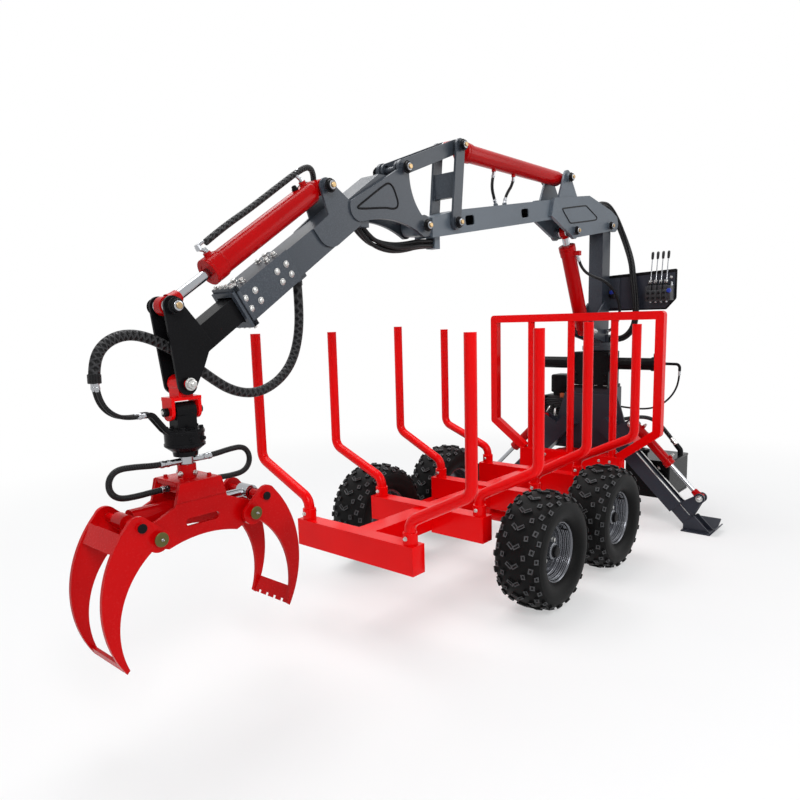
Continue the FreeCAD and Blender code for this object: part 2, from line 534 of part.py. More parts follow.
def oil_tank():
    """Hydraulic oil tank on the right of the drawbar, with its filler and suction elbow."""
    wall = 4
    box = block(1240, 1610, -540, -245, 150, 400)
    box = box.makeFillet(12, [e for e in box.Edges if abs(e.tangentAt(e.FirstParameter).z) > 0.9])
    inside = block(1240 + wall, 1610 - wall, -540 + wall, -245 - wall, 150 + wall, 400 - wall)
    corners = [e for e in inside.Edges if abs(e.tangentAt(e.FirstParameter).z) > 0.9]
    inside = inside.makeFillet(12 - wall, corners)
    bracket = block(1400, 1500, -245, -SPINE_HALF_WIDTH, 342, 358)
    filler = fused(bar((1330, -330, 400), (1330, -330, 428), 32),
                   bar((1330, -330, 428), (1330, -330, 446), 38))
    neck = bar((1330, -330, 390), (1330, -330, 450), 24)
    x, y, z = TANK_PORT
    elbow = bent_bar([(x, y - 30, 380), (x, y - 30, z - 34), TANK_PORT], 18, 25)
    return fused(fused(box, bracket, filler).cut(fused(inside, neck)), elbow)


def engine():
    """Engine and pump as plain masses on a tray left of the pedestal."""
    tray = block(1230, 1640, SPINE_HALF_WIDTH, 470, 428, SPINE_TOP)
    crankcase = block(1290, 1560, 190, 430, SPINE_TOP, 640)
    cover = block(1270, 1470, 200, 420, 640, 800)
    pump = bar((1560, 310, 540), (1630, 310, 540), 55)
    return fused(tray, crankcase, cover, pump)


def drawbar():
    """Two converging square tubes and a straight nose tube to the towing eye."""
    z = (SPINE_BOTTOM + SPINE_TOP) / 2
    nose = block(SPINE_FRONT, EYE_X - 85, -40, 40, z - 40, z + 40)
    arms = []
    for side in (-1, 1):
        corners = ((1180, SPINE_HALF_WIDTH + 130), (1180, SPINE_HALF_WIDTH + 180), (1800, 75), (1800, 25),
                   (1180, SPINE_HALF_WIDTH + 130))
        corners = [V(x, side * y, z - 30) for x, y in corners]
        arms.append(Part.Face(Part.makePolygon(corners)).extrude(V(0, 0, 60)))
    cross = block(1160, 1220, -230, 230, z - 30, z + 30).cut(
        block(1100, 1300, -SPINE_HALF_WIDTH, SPINE_HALF_WIDTH, SPINE_BOTTOM - 10, SPINE_TOP + 10))
    return fused(nose, cross, *arms)


def towing_eye():
    z = (SPINE_BOTTOM + SPINE_TOP) / 2
    shank = bar((EYE_X - 85, 0, z), (EYE_X - 33, 0, z), 22)
    flange = block(EYE_X - 85, EYE_X - 73, -40, 40, z - 40, z + 40)
    ring = bar((EYE_X, 0, z - 15), (EYE_X, 0, z + 15), 45)
    return fused(flange, shank, ring).cut(bar((EYE_X, 0, z - 30), (EYE_X, 0, z + 30), TOW_BORE))


# ---- crane ------------------------------------------------------------------------------------------
def column():
    """Square mast on its turntable, with the lift cylinder's lugs and the valve bracket."""
    x, y = COLUMN_HALF_X, COLUMN_HALF_Y
    table = fused(bar((SLEW_X, 0, HOUSING_TOP + 3), (SLEW_X, 0, 1145), 105),
                  bar((SLEW_X, 0, 1145), (SLEW_X, 0, 1168), 88),
                  bar((SLEW_X, 0, 1075), (SLEW_X, 0, 1130), 45))
    mast = block(SLEW_X - x, SLEW_X + x, -y, y, 1168, BOOM_PIVOT[1])
    top = bar((BOOM_PIVOT[0], -y, BOOM_PIVOT[1]), (BOOM_PIVOT[0], y, BOOM_PIVOT[1]), 52)
    mast = mast.cut(block(BOOM_PIVOT[0] + 52, SLEW_X + 80, -80, 80, BOOM_PIVOT[1] - 20, BOOM_PIVOT[1] + 10))
    mast = mast.cut(block(SLEW_X - x + 8, SLEW_X + x - 8, -y + 8, y - 8, 1180, BOOM_PIVOT[1] - 70))
    mast = mast.cut(block(SLEW_X + x - 10, SLEW_X + x + 1, -18, 18, 1240, 1300))
    lugs = []
    lugs += both_sides(hull_plate([(LIFT_BOTTOM[0], LIFT_BOTTOM[1], 36), (SLEW_X - x + 20, 1190, 18),
                                   (SLEW_X - x + 20, 1420, 18)], y + 2, y + 14))
    lugs += both_sides(block(SLEW_X - x, SLEW_X - x + 38, y, y + 4, 1190, 1420))
    lugs += both_sides(bar((LIFT_BOTTOM[0], 34, LIFT_BOTTOM[1]),
                           (LIFT_BOTTOM[0], y + 20, LIFT_BOTTOM[1]), 24))
    arm = block(SLEW_X + x, SLEW_X + x + 12, -120, y, 1400, 1600)
    clamps = []
    for (cx, cz), half in ((MAST_CLAMP, 30), (LIFT_CLAMP, 15)):
        clamps.append(block(cx - half, cx + half, -y - 30, -y, cz - half, cz + half))
    whole = fused(table, mast, top, arm, *lugs, *clamps)
    bore = pin(BOOM_PIVOT, 20 + RUNNING_GAP, 90)
    foot_bore = pin(LIFT_BOTTOM, 15 + RUNNING_GAP, 90)
    return whole.cut(fused(bore, foot_bore))


def valve_plate():
    """Folded guard behind the control valve, with one lower corner cut away."""
    x0 = SLEW_X + COLUMN_HALF_X + 12
    corners = ((40, 1385), (40, 1610), (-490, 1632), (-490, 1450), (-430, 1385), (40, 1385))
    return Part.Face(Part.makePolygon([V(x0, y, z) for y, z in corners])).extrude(V(6, 0, 0))


def control_valve():
    """Sectional valve block on the guard, with its four levers."""
    x1 = SLEW_X + COLUMN_HALF_X + 12
    x0 = x1 - 85
    body = block(x0, x1, -485, -320, 1430, 1540)
    parts = [body]
    for i in range(4):
        y = -346 - 38 * i
        parts.append(block(x0 + 20, x0 + 60, y - 14, y + 14, 1540, 1568))
        parts.append(bar((x0 + 40, y, 1560), (x0 + 40, y, 1700), 5))
        parts.append(bar((x0 + 40, y, 1690), (x0 + 40, y, 1752), 11))
    return fused(*parts)


def boom():
    """Box-section boom with its wider root cheeks, cylinder lugs and narrow nose at the knuckle."""
    def top_at(x):
        return BOOM_TOP_AT_TIP[1] + (x - BOOM_TOP_AT_TIP[0]) * BOOM_RISE
    tip, root_end, step = BOOM_TOP_AT_TIP[0], 950.0, -590.0
    half, wall = BOOM_HALF_WIDTH, BOOM_WALL
    box = prism([(tip, top_at(tip)), (root_end, top_at(root_end)), (root_end, top_at(root_end) - BOOM_DEPTH),
                 (step, top_at(step) - BOOM_DEPTH), (step, 1815)], -half, half)
    inside = prism([(-330, top_at(-330) - wall), (root_end + 5, top_at(root_end + 5) - wall),
                    (root_end + 5, top_at(root_end + 5) - BOOM_DEPTH + wall),
                    (-330, top_at(-330) - BOOM_DEPTH + wall)], -half + wall, half - wall)
    nose = hull_plate([(DIPPER_PIVOT[0], DIPPER_PIVOT[1], 40), (step + 20, 1768, 34), (step + 20, 1784, 34)],
                      -44, 44)
    cheek = prism([(543, 2032), (509, 1928), (709, 1854), (766, 1835), ((801, 1819), (830, 1829)),
                   (1359, 1913), ((1440, 1945), (1420, 2011)), (1330, 2040), (1001, 2097)], half, half + 18)
    lug = prism([(600, 2030), (674, 2180), ((715, 2211), (757, 2176)), (850, 2060)], half, half + 12)
    boss = bar((LIFT_TOP[0], 34, LIFT_TOP[1]), (LIFT_TOP[0], half + 32, LIFT_TOP[1]), 24)
    base_boss = bar((PUSH_BASE[0], half - 8, PUSH_BASE[1]), (PUSH_BASE[0], half + 30, PUSH_BASE[1]), 24)
    x0, x1 = BOOM_CLAMP_X
    clamps = [block(x0, x1, -CLAMP_HALF, CLAMP_HALF, 1682, 1745),
              block(ROOT_CLAMP_X[0], ROOT_CLAMP_X[1], -half, half, 2015, 2066)]
    for x in (HOSES["dipper_hose_rear"][1][-1][0], HOSES["dipper_hose_front"][1][-1][0]):
        clamps.append(bar((x, 0, top_at(x) - wall), (x, 0, top_at(x) + 10), 12))
    pieces = [box, nose] + clamps + both_sides(cheek) + both_sides(lug)
    pieces += both_sides(boss) + both_sides(base_boss)
    cuts = [inside, pin(DIPPER_PIVOT, 18 + RUNNING_GAP, 90), pin(ROCKER_FOOT, 16 + RUNNING_GAP, 90),
            pin(PUSH_BASE, 15 + RUNNING_GAP, 120)]
    for centre in ((-290, 1831), (238, 1917)):
        cuts.append(window(centre, 39, 23, 14, atan2(BOOM_RISE, 1), -90, 90))
    return fused(fused(*pieces).cut(fused(*cuts)), pin(BOOM_PIVOT, 20, half + 32))


def lift_cylinder():
    barrel, rod = cylinder_between(LIFT_BOTTOM, LIFT_TOP, 590, 110, 45, 21, 30, 26, 60)
    x, y, z = LIFT_PORT
    port = block(x - 16, x + 16, y - 14, -30, z + 2, z + 30)
    return fused(barrel, port, pin(LIFT_BOTTOM, 15, COLUMN_HALF_Y + 26)), rod


def push_cylinder():
    barrel, rod = cylinder_between(PUSH_BASE, PUSH_EYE, 1000, 780, 43, 21, 30, 26, 60)
    ports = [bar((x, 0, BARREL_PORT_Z), (x, 0, BARREL_PORT_Z + 25), 11) for x in BARREL_PORT_X]
    return fused(barrel, pin(PUSH_BASE, 15, BOOM_HALF_WIDTH + 36), *ports), rod


def rocker():
    """Upright rocker: two plates, the cross plate between them and its foot pin."""
    y0, y1 = 60.0, 72.0
    plate = hull_plate([(PUSH_EYE[0], PUSH_EYE[1], 33), (ROCKER_FOOT[0], ROCKER_FOOT[1], 33)], y0, y1)
    stub = bar((PUSH_EYE[0], 30, PUSH_EYE[1]), (PUSH_EYE[0], 84, PUSH_EYE[1]), 16)
    cross = block(-425, -397, -y0, y0, 1925, 2040)
    return fused(pin(ROCKER_FOOT, 16, 84), cross, *both_sides(plate), *both_sides(stub))


def tie_link():
    """Two plates from the rocker's top pin to the dipper, joined by a spacer."""
    y0, y1 = 32.0, 42.0
    plate = hull_plate([(PUSH_EYE[0], PUSH_EYE[1], 32), (TIE_END[0], TIE_END[1], 32)], y0, y1)
    middle = ((PUSH_EYE[0] + TIE_END[0]) / 2, (PUSH_EYE[1] + TIE_END[1]) / 2)
    whole = fused(pin(middle, 12, y0), *both_sides(plate))
    return whole.cut(fused(pin(PUSH_EYE, 16 + RUNNING_GAP, 90), pin(TIE_END, 24, 90)))


def on_beam(shape):
    """Place a shape drawn with +X along the telescopic beam, outwards, and +Z on its upper side."""
    placed = shape.copy()
    placed.rotate(V(0, 0, 0), V(0, 0, 1), 180)
    placed.rotate(V(0, 0, 0), V(0, 1, 0), -BEAM_SLOPE)
    placed.translate(V(BEAM_START[0], 0, BEAM_START[1]))
    return placed


def dipper():
    """Knuckle plates, outer beam with its bolted sleeve, and the extension cylinder's lugs."""
    w = OUTER_HALF_W
    knuckle = prism([(-1129, 1826), (-832, 1990), ((-812, 2033), (-763, 2007)), ((-748, 1905), (-680, 1814)),
                     ((-614, 1778), (-669, 1723)), ((-830, 1771), (-1000, 1766)), (-1070, 1752),
                     ((-1122, 1772), (-1129, 1826))], w, w + 16)
    h, wall = OUTER_HALF_H, OUTER_WALL
    tube = prism([(-400, -h), (SLEEVE_END, -h), (SLEEVE_END, h), (-620, h), (-680, 20)], -w, w)
    inside = prism([(-700, -h + wall), (SLEEVE_END + 40, -h + wall), (SLEEVE_END + 40, h - wall),
                    (-700, h - wall)], -w + wall, w - wall)
    sleeve = prism([(SLEEVE_START, -h - 6), (SLEEVE_END, -h - 6), (SLEEVE_END, h + 6), (SLEEVE_START, h + 6)],
                   -w - 6, w + 6)
    flange = prism([(SLEEVE_END - 8, -h - 18), (SLEEVE_END + 10, -h - 18), (SLEEVE_END + 10, h + 10),
                    (SLEEVE_END - 8, h + 10)], -w - 12, w + 12)
    lug = prism([(-348, 152), (-396, 50), (-400, -h), (-250, -h), ((-196, -40), (-166, 20)), (-160, h),
                 (-262, h + 6), (-282, 152), ((-315, 184), (-348, 152))], w, w + 9)
    boss = bar((EXTENSION_BASE, 40, EXTENSION_OFFSET), (EXTENSION_BASE, w + 28, EXTENSION_OFFSET), 22)
    beam_clamp = block(-52, -6, -CLAMP_HALF, CLAMP_HALF, -h - 22, -h)
    local = fused(tube, sleeve, flange, beam_clamp, *both_sides(lug), *both_sides(boss)).cut(inside)
    knuckle_clamp = block(-1062, -1012, -w, w, 1734, 1775)
    tie_boss = bar((TIE_END[0], 44, TIE_END[1]), (TIE_END[0], w + 34, TIE_END[1]), 20)
    tie_pin = bar((TIE_END[0], -50, TIE_END[1]), (TIE_END[0], 50, TIE_END[1]), 14)
    return fused(on_beam(local), pin(DIPPER_PIVOT, 18, w + 32), tie_pin, knuckle_clamp, *both_sides(knuckle),
                 *both_sides(tie_boss))


def extension_barrel():
    """The barrel and the hose clipped along it, which ends on the far side of the knuckle."""
    n, r = EXTENSION_OFFSET, 43
    hose = bent_bar([(270, 0, 185), (270, 0, 245), (-268, 0, 243), (-334, -8, 234), (-372, -38, 196),
                     (-384, -92, 128), (-390, -112, 78), (-390, -112, 24), (-390, -66.5, 24)], 11)
    body = fused(bar((EXTENSION_BASE + 25, 0, n), (EXTENSION_HEAD, 0, n), r),
                 bar((EXTENSION_HEAD - 60, 0, n), (EXTENSION_HEAD, 0, n), r + 5),
                 pin((EXTENSION_BASE, n), 30, 38))
    body = body.cut(bar((EXTENSION_BASE + 55, 0, n), (EXTENSION_HEAD + 5, 0, n), 17.1))
    return on_beam(fused(body, hose))


def extension_rod():
    n = EXTENSION_OFFSET
    return on_beam(fused(bar((-190, 0, n), (EXTENSION_EYE - 20, 0, n), 17), pin((EXTENSION_EYE, n), 27, 30)))


def inner_beam():
    """Sliding inner beam with the twin tip plates and the extension rod's pin ends."""
    tube = square_tube((INNER_START, 0, 0), (INNER_END, 0, 0), INNER_HALF_W, INNER_HALF_H, 6)
    y0, y1 = INNER_HALF_W, INNER_HALF_W + 9
    x, z = SWING_PIN
    plate = prism([(-1962, 1416), ((-1930, 1449), (-1899, 1428)), (-1835, 1352), (-1796, 1297), (-1830, 1218),
                   (x + 34, z - 8), ((x + 4, z - 36), (x - 34, z - 10))], y0, y1)
    top = bar((-1930, 32, 1416), (-1930, y1 + 18, 1416), 20)
    whole = fused(on_beam(tube), *both_sides(plate), *both_sides(top))
    keep_out = fused(pin(SWING_PIN, 80, y0), pin(SWING_PIN, 15 + RUNNING_GAP, 90))
    return whole.cut(keep_out)


def swing_link():
    """Cross link: upper pin along Y in the tip plates, two ears below for the rotator's pin along X."""
    x, z = SWING_PIN
    tongue = block(x - 26, x + 26, -30, 30, LINK_PLATE[0], z)
    yoke = block(x - 55, x + 55, -32, 32, LINK_PLATE[0], LINK_PLATE[1])
    ears = []
    for x0 in (x - 55, x + 43):
        ears.append(block(x0, x0 + 12, -30, 30, CROSS_PIN_Z, LINK_PLATE[0]))
        ears.append(bar((x0, 0, CROSS_PIN_Z), (x0 + 12, 0, CROSS_PIN_Z), 30))
    body = fused(tongue, yoke, *ears, pin(SWING_PIN, 30, 30), pin(SWING_PIN, 15, 62))
    return body.cut(bar((x - 60, 0, CROSS_PIN_Z), (x + 60, 0, CROSS_PIN_Z), 14 + RUNNING_GAP))


def rotator():
    """Hydraulic rotator hung on its cross pin, with two hose pipes; the grapple's shaft turns inside it."""
    x = SWING_PIN[0]
    stem = fused(block(x - 36, x + 36, -26, 26, ROTATOR_TOP - 5, CROSS_PIN_Z),
                 bar((x - 36, 0, CROSS_PIN_Z), (x + 36, 0, CROSS_PIN_Z), 30))
    drum = turned([(ROTATOR_BOTTOM, 0), (ROTATOR_BOTTOM, 40), (ROTATOR_BOTTOM + 15, 42),
                   (ROTATOR_BOTTOM + 33, 65), (ROTATOR_TOP, 65), (ROTATOR_TOP, 0)], (x, 0, 0), (0, 0, 1))
    cross = bar((x - 70, 0, CROSS_PIN_Z), (x + 70, 0, CROSS_PIN_Z), 14)
    pipes = []
    for y in (-14, 14):
        pipes.append(bent_bar([(x - 50, y, 1000), (x - 72, y, 1018), (-2012, y, CROSS_PIN_Z),
                               (ROTATOR_PIPE_END, y, CROSS_PIN_Z)], 9, 20))
    return fused(stem, drum, cross, *pipes).cut(bar((x, 0, 900), (x, 0, 961), 22 + RUNNING_GAP))


def at_grapple(shape):
    return shape.translated(V(SWING_PIN[0], 0, 0))


def grapple_frame():
    """Grapple body: two side plates, the saddle over the cylinder, the head and its shaft."""
    y0, y1 = BODY_PLATE_Y
    px, pz = CLAW_PIVOT
    plate = prism([(-px - 10, pz + 35), ((-px - 36, pz), (-px, pz - 36)), (-130, 644),
                   ((0, 664), (130, 644)), (px, pz - 36), ((px + 36, pz), (px + 10, pz + 35)),
                   (98, 775), (76, 846), (-76, 846), (-98, 775)], y0, y1)
    plate = plate.cut(slot((0, 715), 50, 13, 0, 0, 200))
    top = block(-76, 76, -y1, y1, 834, 846)
    port_bars = [block(x, x + 12, -y0, y0, 812, 840) for x in (-71, 59)]
    stub = bar((px, y0 - 4, pz), (px, CLAW_PLATE_Y[1] + 16, pz), 15)
    stubs = both_sides(stub) + [s.mirror(V(0, 0, 0), V(1, 0, 0)) for s in both_sides(stub)]
    head = fused(bar((0, 0, 846), (0, 0, 893), 31), bar((-GRAPPLE_PORT_X, 0, GRAPPLE_PORT_Z),
                                                     (GRAPPLE_PORT_X, 0, GRAPPLE_PORT_Z), 9))
    shaft = bar((0, 0, 893), (0, 0, 960), 22)
    return at_grapple(fused(top, head, shaft, *port_bars, *both_sides(plate), *stubs))


def claw_plate():
    """One tine of the front claw, curved between two arcs."""
    y0, y1 = CLAW_PLATE_Y
    px, pz = CLAW_PIVOT
    plate = prism([(213, 770), ((245, 784), (276, 765)), ((373, 560), (318, 306)), (308, 316),
                   ((325, 470), (206, 664)), ((152, 668), (143, 710))], y0, y1)
    return plate.cut(pin((px, pz), 15 + RUNNING_GAP, 200))


def front_claw():
    """Front pair of tines with its back plate, toothed lip and the cylinder's pin ends."""
    y0, y1 = CLAW_PLATE_Y
    ux, uz = CLAW_PUSH_PIN
    stub = bar((ux, 34, uz), (ux, y1 + 8, uz), 14)
    back = prism([(290, 738), (297, 742), (328, 686), (321, 682)], -y0, y0)
    lip = prism([(310, 314), (317, 309), (345, 366), (338, 370)], -y0, y0)
    for y in (-66, -22, 22, 66):
        lip = lip.cut(block(300, 324, y - 10, y + 10, 300, 324))
    return at_grapple(fused(back, lip, *both_sides(claw_plate()), *both_sides(stub)))


def rear_claw():
    """Rear pair of tines with its back plate, tip bar and the cylinder's through pin."""
    y0, y1 = CLAW_PLATE_Y
    ux, uz = CLAW_PUSH_PIN
    tines = [t.mirror(V(0, 0, 0), V(1, 0, 0)) for t in both_sides(claw_plate())]
    back = prism([(-290, 738), (-297, 742), (-328, 686), (-321, 682)], -y0, y0)
    bar_low = prism([(-311, 312), (-323, 312), (-331, 336), (-320, 338)], -y0, y0)
    through = pin((-ux, uz), 14, y1 + 8)
    return at_grapple(fused(back, bar_low, through, *tines))


def grapple_cylinder():
    ux, uz = CLAW_PUSH_PIN
    barrel, rod = cylinder_between((-ux, uz), (ux, uz), 325, 200, 34, 17, 27, 30, 40)
    barrel = barrel.cut(pin((-ux, uz), 14 + RUNNING_GAP, 60))
    return at_grapple(barrel), at_grapple(rod)


# ---- every node -----------------------------------------------------------------------------------
def main():
    save("chassis_spine", chassis_spine())
    save("bolsters", *bolsters())
    save("stakes", *stakes())
    save("headboard", headboard())
    save("bogie_beams", *bogie_beams())
    for place, x in zip(("rear", "front"), WHEEL_X):
        for side, y in (("left", WHEEL_Y), ("right", -WHEEL_Y)):
            save(side + "_" + place + "_tyre", tyre(x, y))
            save(side + "_" + place + "_rim", rim(x, y))
    save("pedestal", pedestal())
    save("slew_housing", slew_housing())
    save("slew_cylinder", slew_cylinder())
    save("stabiliser_tubes", leg_tube(1), leg_tube(-1))
    save("stabiliser_barrels", leg_barrel(1), leg_barrel(-1))
    for side, sign in (("left", 1), ("right", -1)):
        save(side + "_leg", leg_inner(sign))
        save(side + "_leg_rod", leg_rod(sign))
    save("oil_tank", oil_tank())
    save("engine", engine())
    save("drawbar", drawbar())
    save("towing_eye", towing_eye())
    save("column", column())
    save("valve_plate", valve_plate())
    save("control_valve", control_valve())
    for name, (barrel, rod) in (("lift", lift_cylinder()), ("dipper_cylinder", push_cylinder()),
                                ("grapple_cylinder", grapple_cylinder())):
        save(name + "_barrel", barrel)
        save(name + "_rod", rod)
    save("boom", boom())
    save("rocker", rocker())
    save("tie_link", tie_link())
    save("dipper", dipper())
    save("extension_barrel", extension_barrel())
    save("extension_rod", extension_rod())
    save("inner_beam", inner_beam())
    save("swing_link", swing_link())
    save("rotator", rotator())
    save("grapple_frame", grapple_frame())
    save("front_claw", front_claw())
    save("rear_claw", rear_claw())
    for name, (radius, points) in HOSES.items():
        hose = bent_bar(points, radius)
        runs = [round((V(*b) - V(*a)).Length) for a, b in zip(points, points[1:])]
        print(name, "radius", radius, "runs", runs, "bends", [round(r) for r in bend_radii(points)],
              "length", round(hose.Volume / (pi * radius * radius)))
        save(name, hose)


main()
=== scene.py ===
# %% [markdown]
# # A forestry trailer with a knuckle-boom crane
# The engineering model of the trailer is already built and packed. This lesson dresses it: it sets a camera
# and lights, lays every hose at its real length, adds the small pieces that the model leaves out, and gives
# each surface a finish. Everything is in metres. +X points forward to the towing eye, +Y to the left and
# +Z up, with the ground at z = 0.

# %% Load the frame
import bpy
import json
from math import cos, pi, radians, sin
from mathutils import Matrix, Vector
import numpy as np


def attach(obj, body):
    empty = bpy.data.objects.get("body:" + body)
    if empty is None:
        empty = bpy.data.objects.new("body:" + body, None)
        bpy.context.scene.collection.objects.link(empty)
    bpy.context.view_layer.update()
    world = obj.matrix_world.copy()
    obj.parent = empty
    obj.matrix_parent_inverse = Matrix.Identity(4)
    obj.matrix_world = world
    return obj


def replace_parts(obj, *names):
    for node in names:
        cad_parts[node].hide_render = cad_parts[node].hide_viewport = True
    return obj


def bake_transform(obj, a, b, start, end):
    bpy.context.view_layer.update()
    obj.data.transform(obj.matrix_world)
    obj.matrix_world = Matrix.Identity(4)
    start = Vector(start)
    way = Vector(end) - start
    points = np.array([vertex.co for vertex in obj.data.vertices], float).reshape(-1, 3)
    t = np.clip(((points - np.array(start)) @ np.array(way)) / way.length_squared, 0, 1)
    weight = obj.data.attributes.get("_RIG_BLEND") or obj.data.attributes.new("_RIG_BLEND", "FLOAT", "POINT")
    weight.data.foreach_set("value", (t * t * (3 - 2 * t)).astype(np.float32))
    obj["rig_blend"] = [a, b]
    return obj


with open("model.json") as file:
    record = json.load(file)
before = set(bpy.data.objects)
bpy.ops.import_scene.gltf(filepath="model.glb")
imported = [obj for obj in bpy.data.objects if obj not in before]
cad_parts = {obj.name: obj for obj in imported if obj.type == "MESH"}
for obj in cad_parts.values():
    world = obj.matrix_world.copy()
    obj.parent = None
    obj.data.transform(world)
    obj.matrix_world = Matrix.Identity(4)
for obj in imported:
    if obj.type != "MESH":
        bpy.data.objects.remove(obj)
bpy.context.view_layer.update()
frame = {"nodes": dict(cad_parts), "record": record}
nodes = frame["nodes"]

# %% [markdown]
# ## Camera
# The camera stands low behind the right rear corner, at about a person's chest, and looks forward and to
# the left along the crane. A place, three angles and a lens fix it. Building the matrix from the angles by
# hand keeps the small roll, which a Track To constraint would lose.

# %% Camera
def turned_to(place, x_way, y_way, z_way):
    """A matrix that brings a piece to a place, with its own X, Y and Z along three directions."""
    return Matrix.Translation(place) @ Matrix((x_way, y_way, z_way)).transposed().to_4x4()


CAMERA_AT = Vector((-3.0927, -1.9975, 1.3496))
YAW, PITCH, ROLL = radians(40.70), radians(-8.70), radians(-1.50)
ahead = Vector((cos(YAW) * cos(PITCH), sin(YAW) * cos(PITCH), sin(PITCH)))
level = Vector((sin(YAW), -cos(YAW), 0))
above = level.cross(ahead)
right = level * cos(ROLL) + above * sin(ROLL)
top = above * cos(ROLL) - level * sin(ROLL)
camera = bpy.data.objects.new("camera", bpy.data.cameras.new("camera"))
bpy.context.scene.collection.objects.link(camera)
camera.matrix_world = turned_to(CAMERA_AT, right, top, -ahead)
camera.data.lens = 30.04
camera.data.shift_x, camera.data.shift_y = -0.0040, 0.0289
bpy.context.scene.camera = camera
print("camera at", tuple(CAMERA_AT))

# %% [markdown]
# ## Floor, world and lamps
# A plain floor and a plain world keep attention on the trailer. Both are white to the camera. The floor
# mixes a little white glow, for camera and glossy rays only, into a matt white, so it keeps the trailer's
# soft shadow, and far away the glow takes over, so that the floor meets the world without a line. The world
# lights the trailer more dimly than it looks. Three big, soft area lamps shape the tubes: a key from the
# viewer's side, a fill from the front and the strongest from above, as under a workshop's ceiling.

# %% Floor and light
def combined(tree, operation, first, second):
    """Two values, each a number or another node's value, put together by a maths operation."""
    made = tree.nodes.new("ShaderNodeMath")
    made.operation = operation
    for socket, value in zip(made.inputs, (first, second)):
        if isinstance(value, (int, float)):
            socket.default_value = value
        else:
            tree.links.new(value, socket)
    return made.outputs[0]


def pale_rays(tree):
    """1 for camera, glossy and transmission rays, and 0 for the light that falls on the trailer."""
    path = tree.nodes.new("ShaderNodeLightPath")
    kinds = path.outputs["Is Camera Ray"]
    for kind in ("Is Glossy Ray", "Is Transmission Ray"):
        kinds = combined(tree, "MAXIMUM", kinds, path.outputs[kind])
    return kinds


bpy.ops.object.select_all(action="DESELECT")
bpy.ops.mesh.primitive_plane_add(size=80, location=(0, 0, -0.001))
floor = bpy.context.object
floor.name = "floor"
pale = bpy.data.materials.new("pale_floor")
pale.use_nodes = True
tree = pale.node_tree
matt = tree.nodes["Principled BSDF"]
matt.inputs["Base Color"].default_value = (0.90, 0.90, 0.90, 1)
matt.inputs["Roughness"].default_value = 0.9
matt.inputs["Specular IOR Level"].default_value = 0.0
place, distance = tree.nodes.new("ShaderNodeTexCoord"), tree.nodes.new("ShaderNodeVectorMath")
distance.operation = "LENGTH"
tree.links.new(place.outputs["Object"], distance.inputs[0])
share = tree.nodes.new("ShaderNodeMapRange")
share.interpolation_type = "SMOOTHSTEP"
for socket, value in (("From Min", 1.5), ("From Max", 5.0), ("To Min", 0.45), ("To Max", 1.0)):
    share.inputs[socket].default_value = value
tree.links.new(distance.outputs["Value"], share.inputs["Value"])
glow, both = tree.nodes.new("ShaderNodeEmission"), tree.nodes.new("ShaderNodeMixShader")
tree.links.new(combined(tree, "MULTIPLY", share.outputs["Result"], pale_rays(tree)), both.inputs[0])
tree.links.new(matt.outputs[0], both.inputs[1])
tree.links.new(glow.outputs[0], both.inputs[2])
tree.links.new(both.outputs[0], tree.nodes["Material Output"].inputs[0])
floor.data.materials.append(pale)

world = bpy.data.worlds.new("studio")
bpy.context.scene.world = world
world.use_nodes = True
tree = world.node_tree
tree.nodes.clear()
lit, plain = tree.nodes.new("ShaderNodeBackground"), tree.nodes.new("ShaderNodeBackground")
lit.inputs["Color"].default_value = (0.92, 0.96, 1.0, 1)
lit.inputs["Strength"].default_value = 0.34
plain.inputs["Color"].default_value = (1.0, 1.0, 1.0, 1)
plain.inputs["Strength"].default_value = 1.0
mixed, out = tree.nodes.new("ShaderNodeMixShader"), tree.nodes.new("ShaderNodeOutputWorld")
tree.links.new(pale_rays(tree), mixed.inputs[0])
tree.links.new(lit.outputs[0], mixed.inputs[1])
tree.links.new(plain.outputs[0], mixed.inputs[2])
tree.links.new(mixed.outputs[0], out.inputs[0])


def lamp(name, at, aim, width, watts):
    """A square area lamp that shines from one point to another."""
    made = bpy.data.objects.new(name, bpy.data.lights.new(name, "AREA"))
    made.data.size, made.data.energy = width, watts
    made.location = at
    made.rotation_euler = (Vector(aim) - Vector(at)).to_track_quat("-Z", "Y").to_euler()
    bpy.context.scene.collection.objects.link(made)


lamp("key_lamp", (-4.0, -4.5, 4.5), (-0.3, 0, 1.0), 2.5, 190)
lamp("fill_lamp", (3.5, -4.0, 3.0), (0.3, 0, 1.0), 3.0, 60)
lamp("top_lamp", (-0.5, 1.5, 6.0), (0, 0, 1.0), 4.0, 250)

# %% [markdown]
# ## Finishes
# A painted machine is never one flat colour. Each finish below starts from its colour and makes it a little
# lighter and darker in broad clouds. Real edges are rounded, so a Bevel node softens every sharp edge of the
# shading, and where it turns away from the flat face the colour is painted paler in patches: part paint
# wear, part a painted highlight along the edge. A fine bump breaks up reflections. The patterns read Object
# coordinates, in metres, so they have a real scale and stay with their piece when it moves.

# %% Finish helpers
def noise(tree, scale, detail=3.0):
    """A noise pattern in the piece's own metres."""
    place = tree.nodes.new("ShaderNodeTexCoord")
    pattern = tree.nodes.new("ShaderNodeTexNoise")
    pattern.inputs["Scale"].default_value = scale
    pattern.inputs["Detail"].default_value = detail
    tree.links.new(place.outputs["Object"], pattern.inputs["Vector"])
    return pattern.outputs["Fac"]


def spread(tree, value, low, high, bottom=0.0, top=1.0):
    """Stretch a pattern so that it runs from bottom at low to top at high."""
    ramp = tree.nodes.new("ShaderNodeMapRange")
    ramp.inputs["From Min"].default_value, ramp.inputs["From Max"].default_value = low, high
    ramp.inputs["To Min"].default_value, ramp.inputs["To Max"].default_value = bottom, top
    tree.links.new(value, ramp.inputs["Value"])
    return ramp.outputs["Result"]


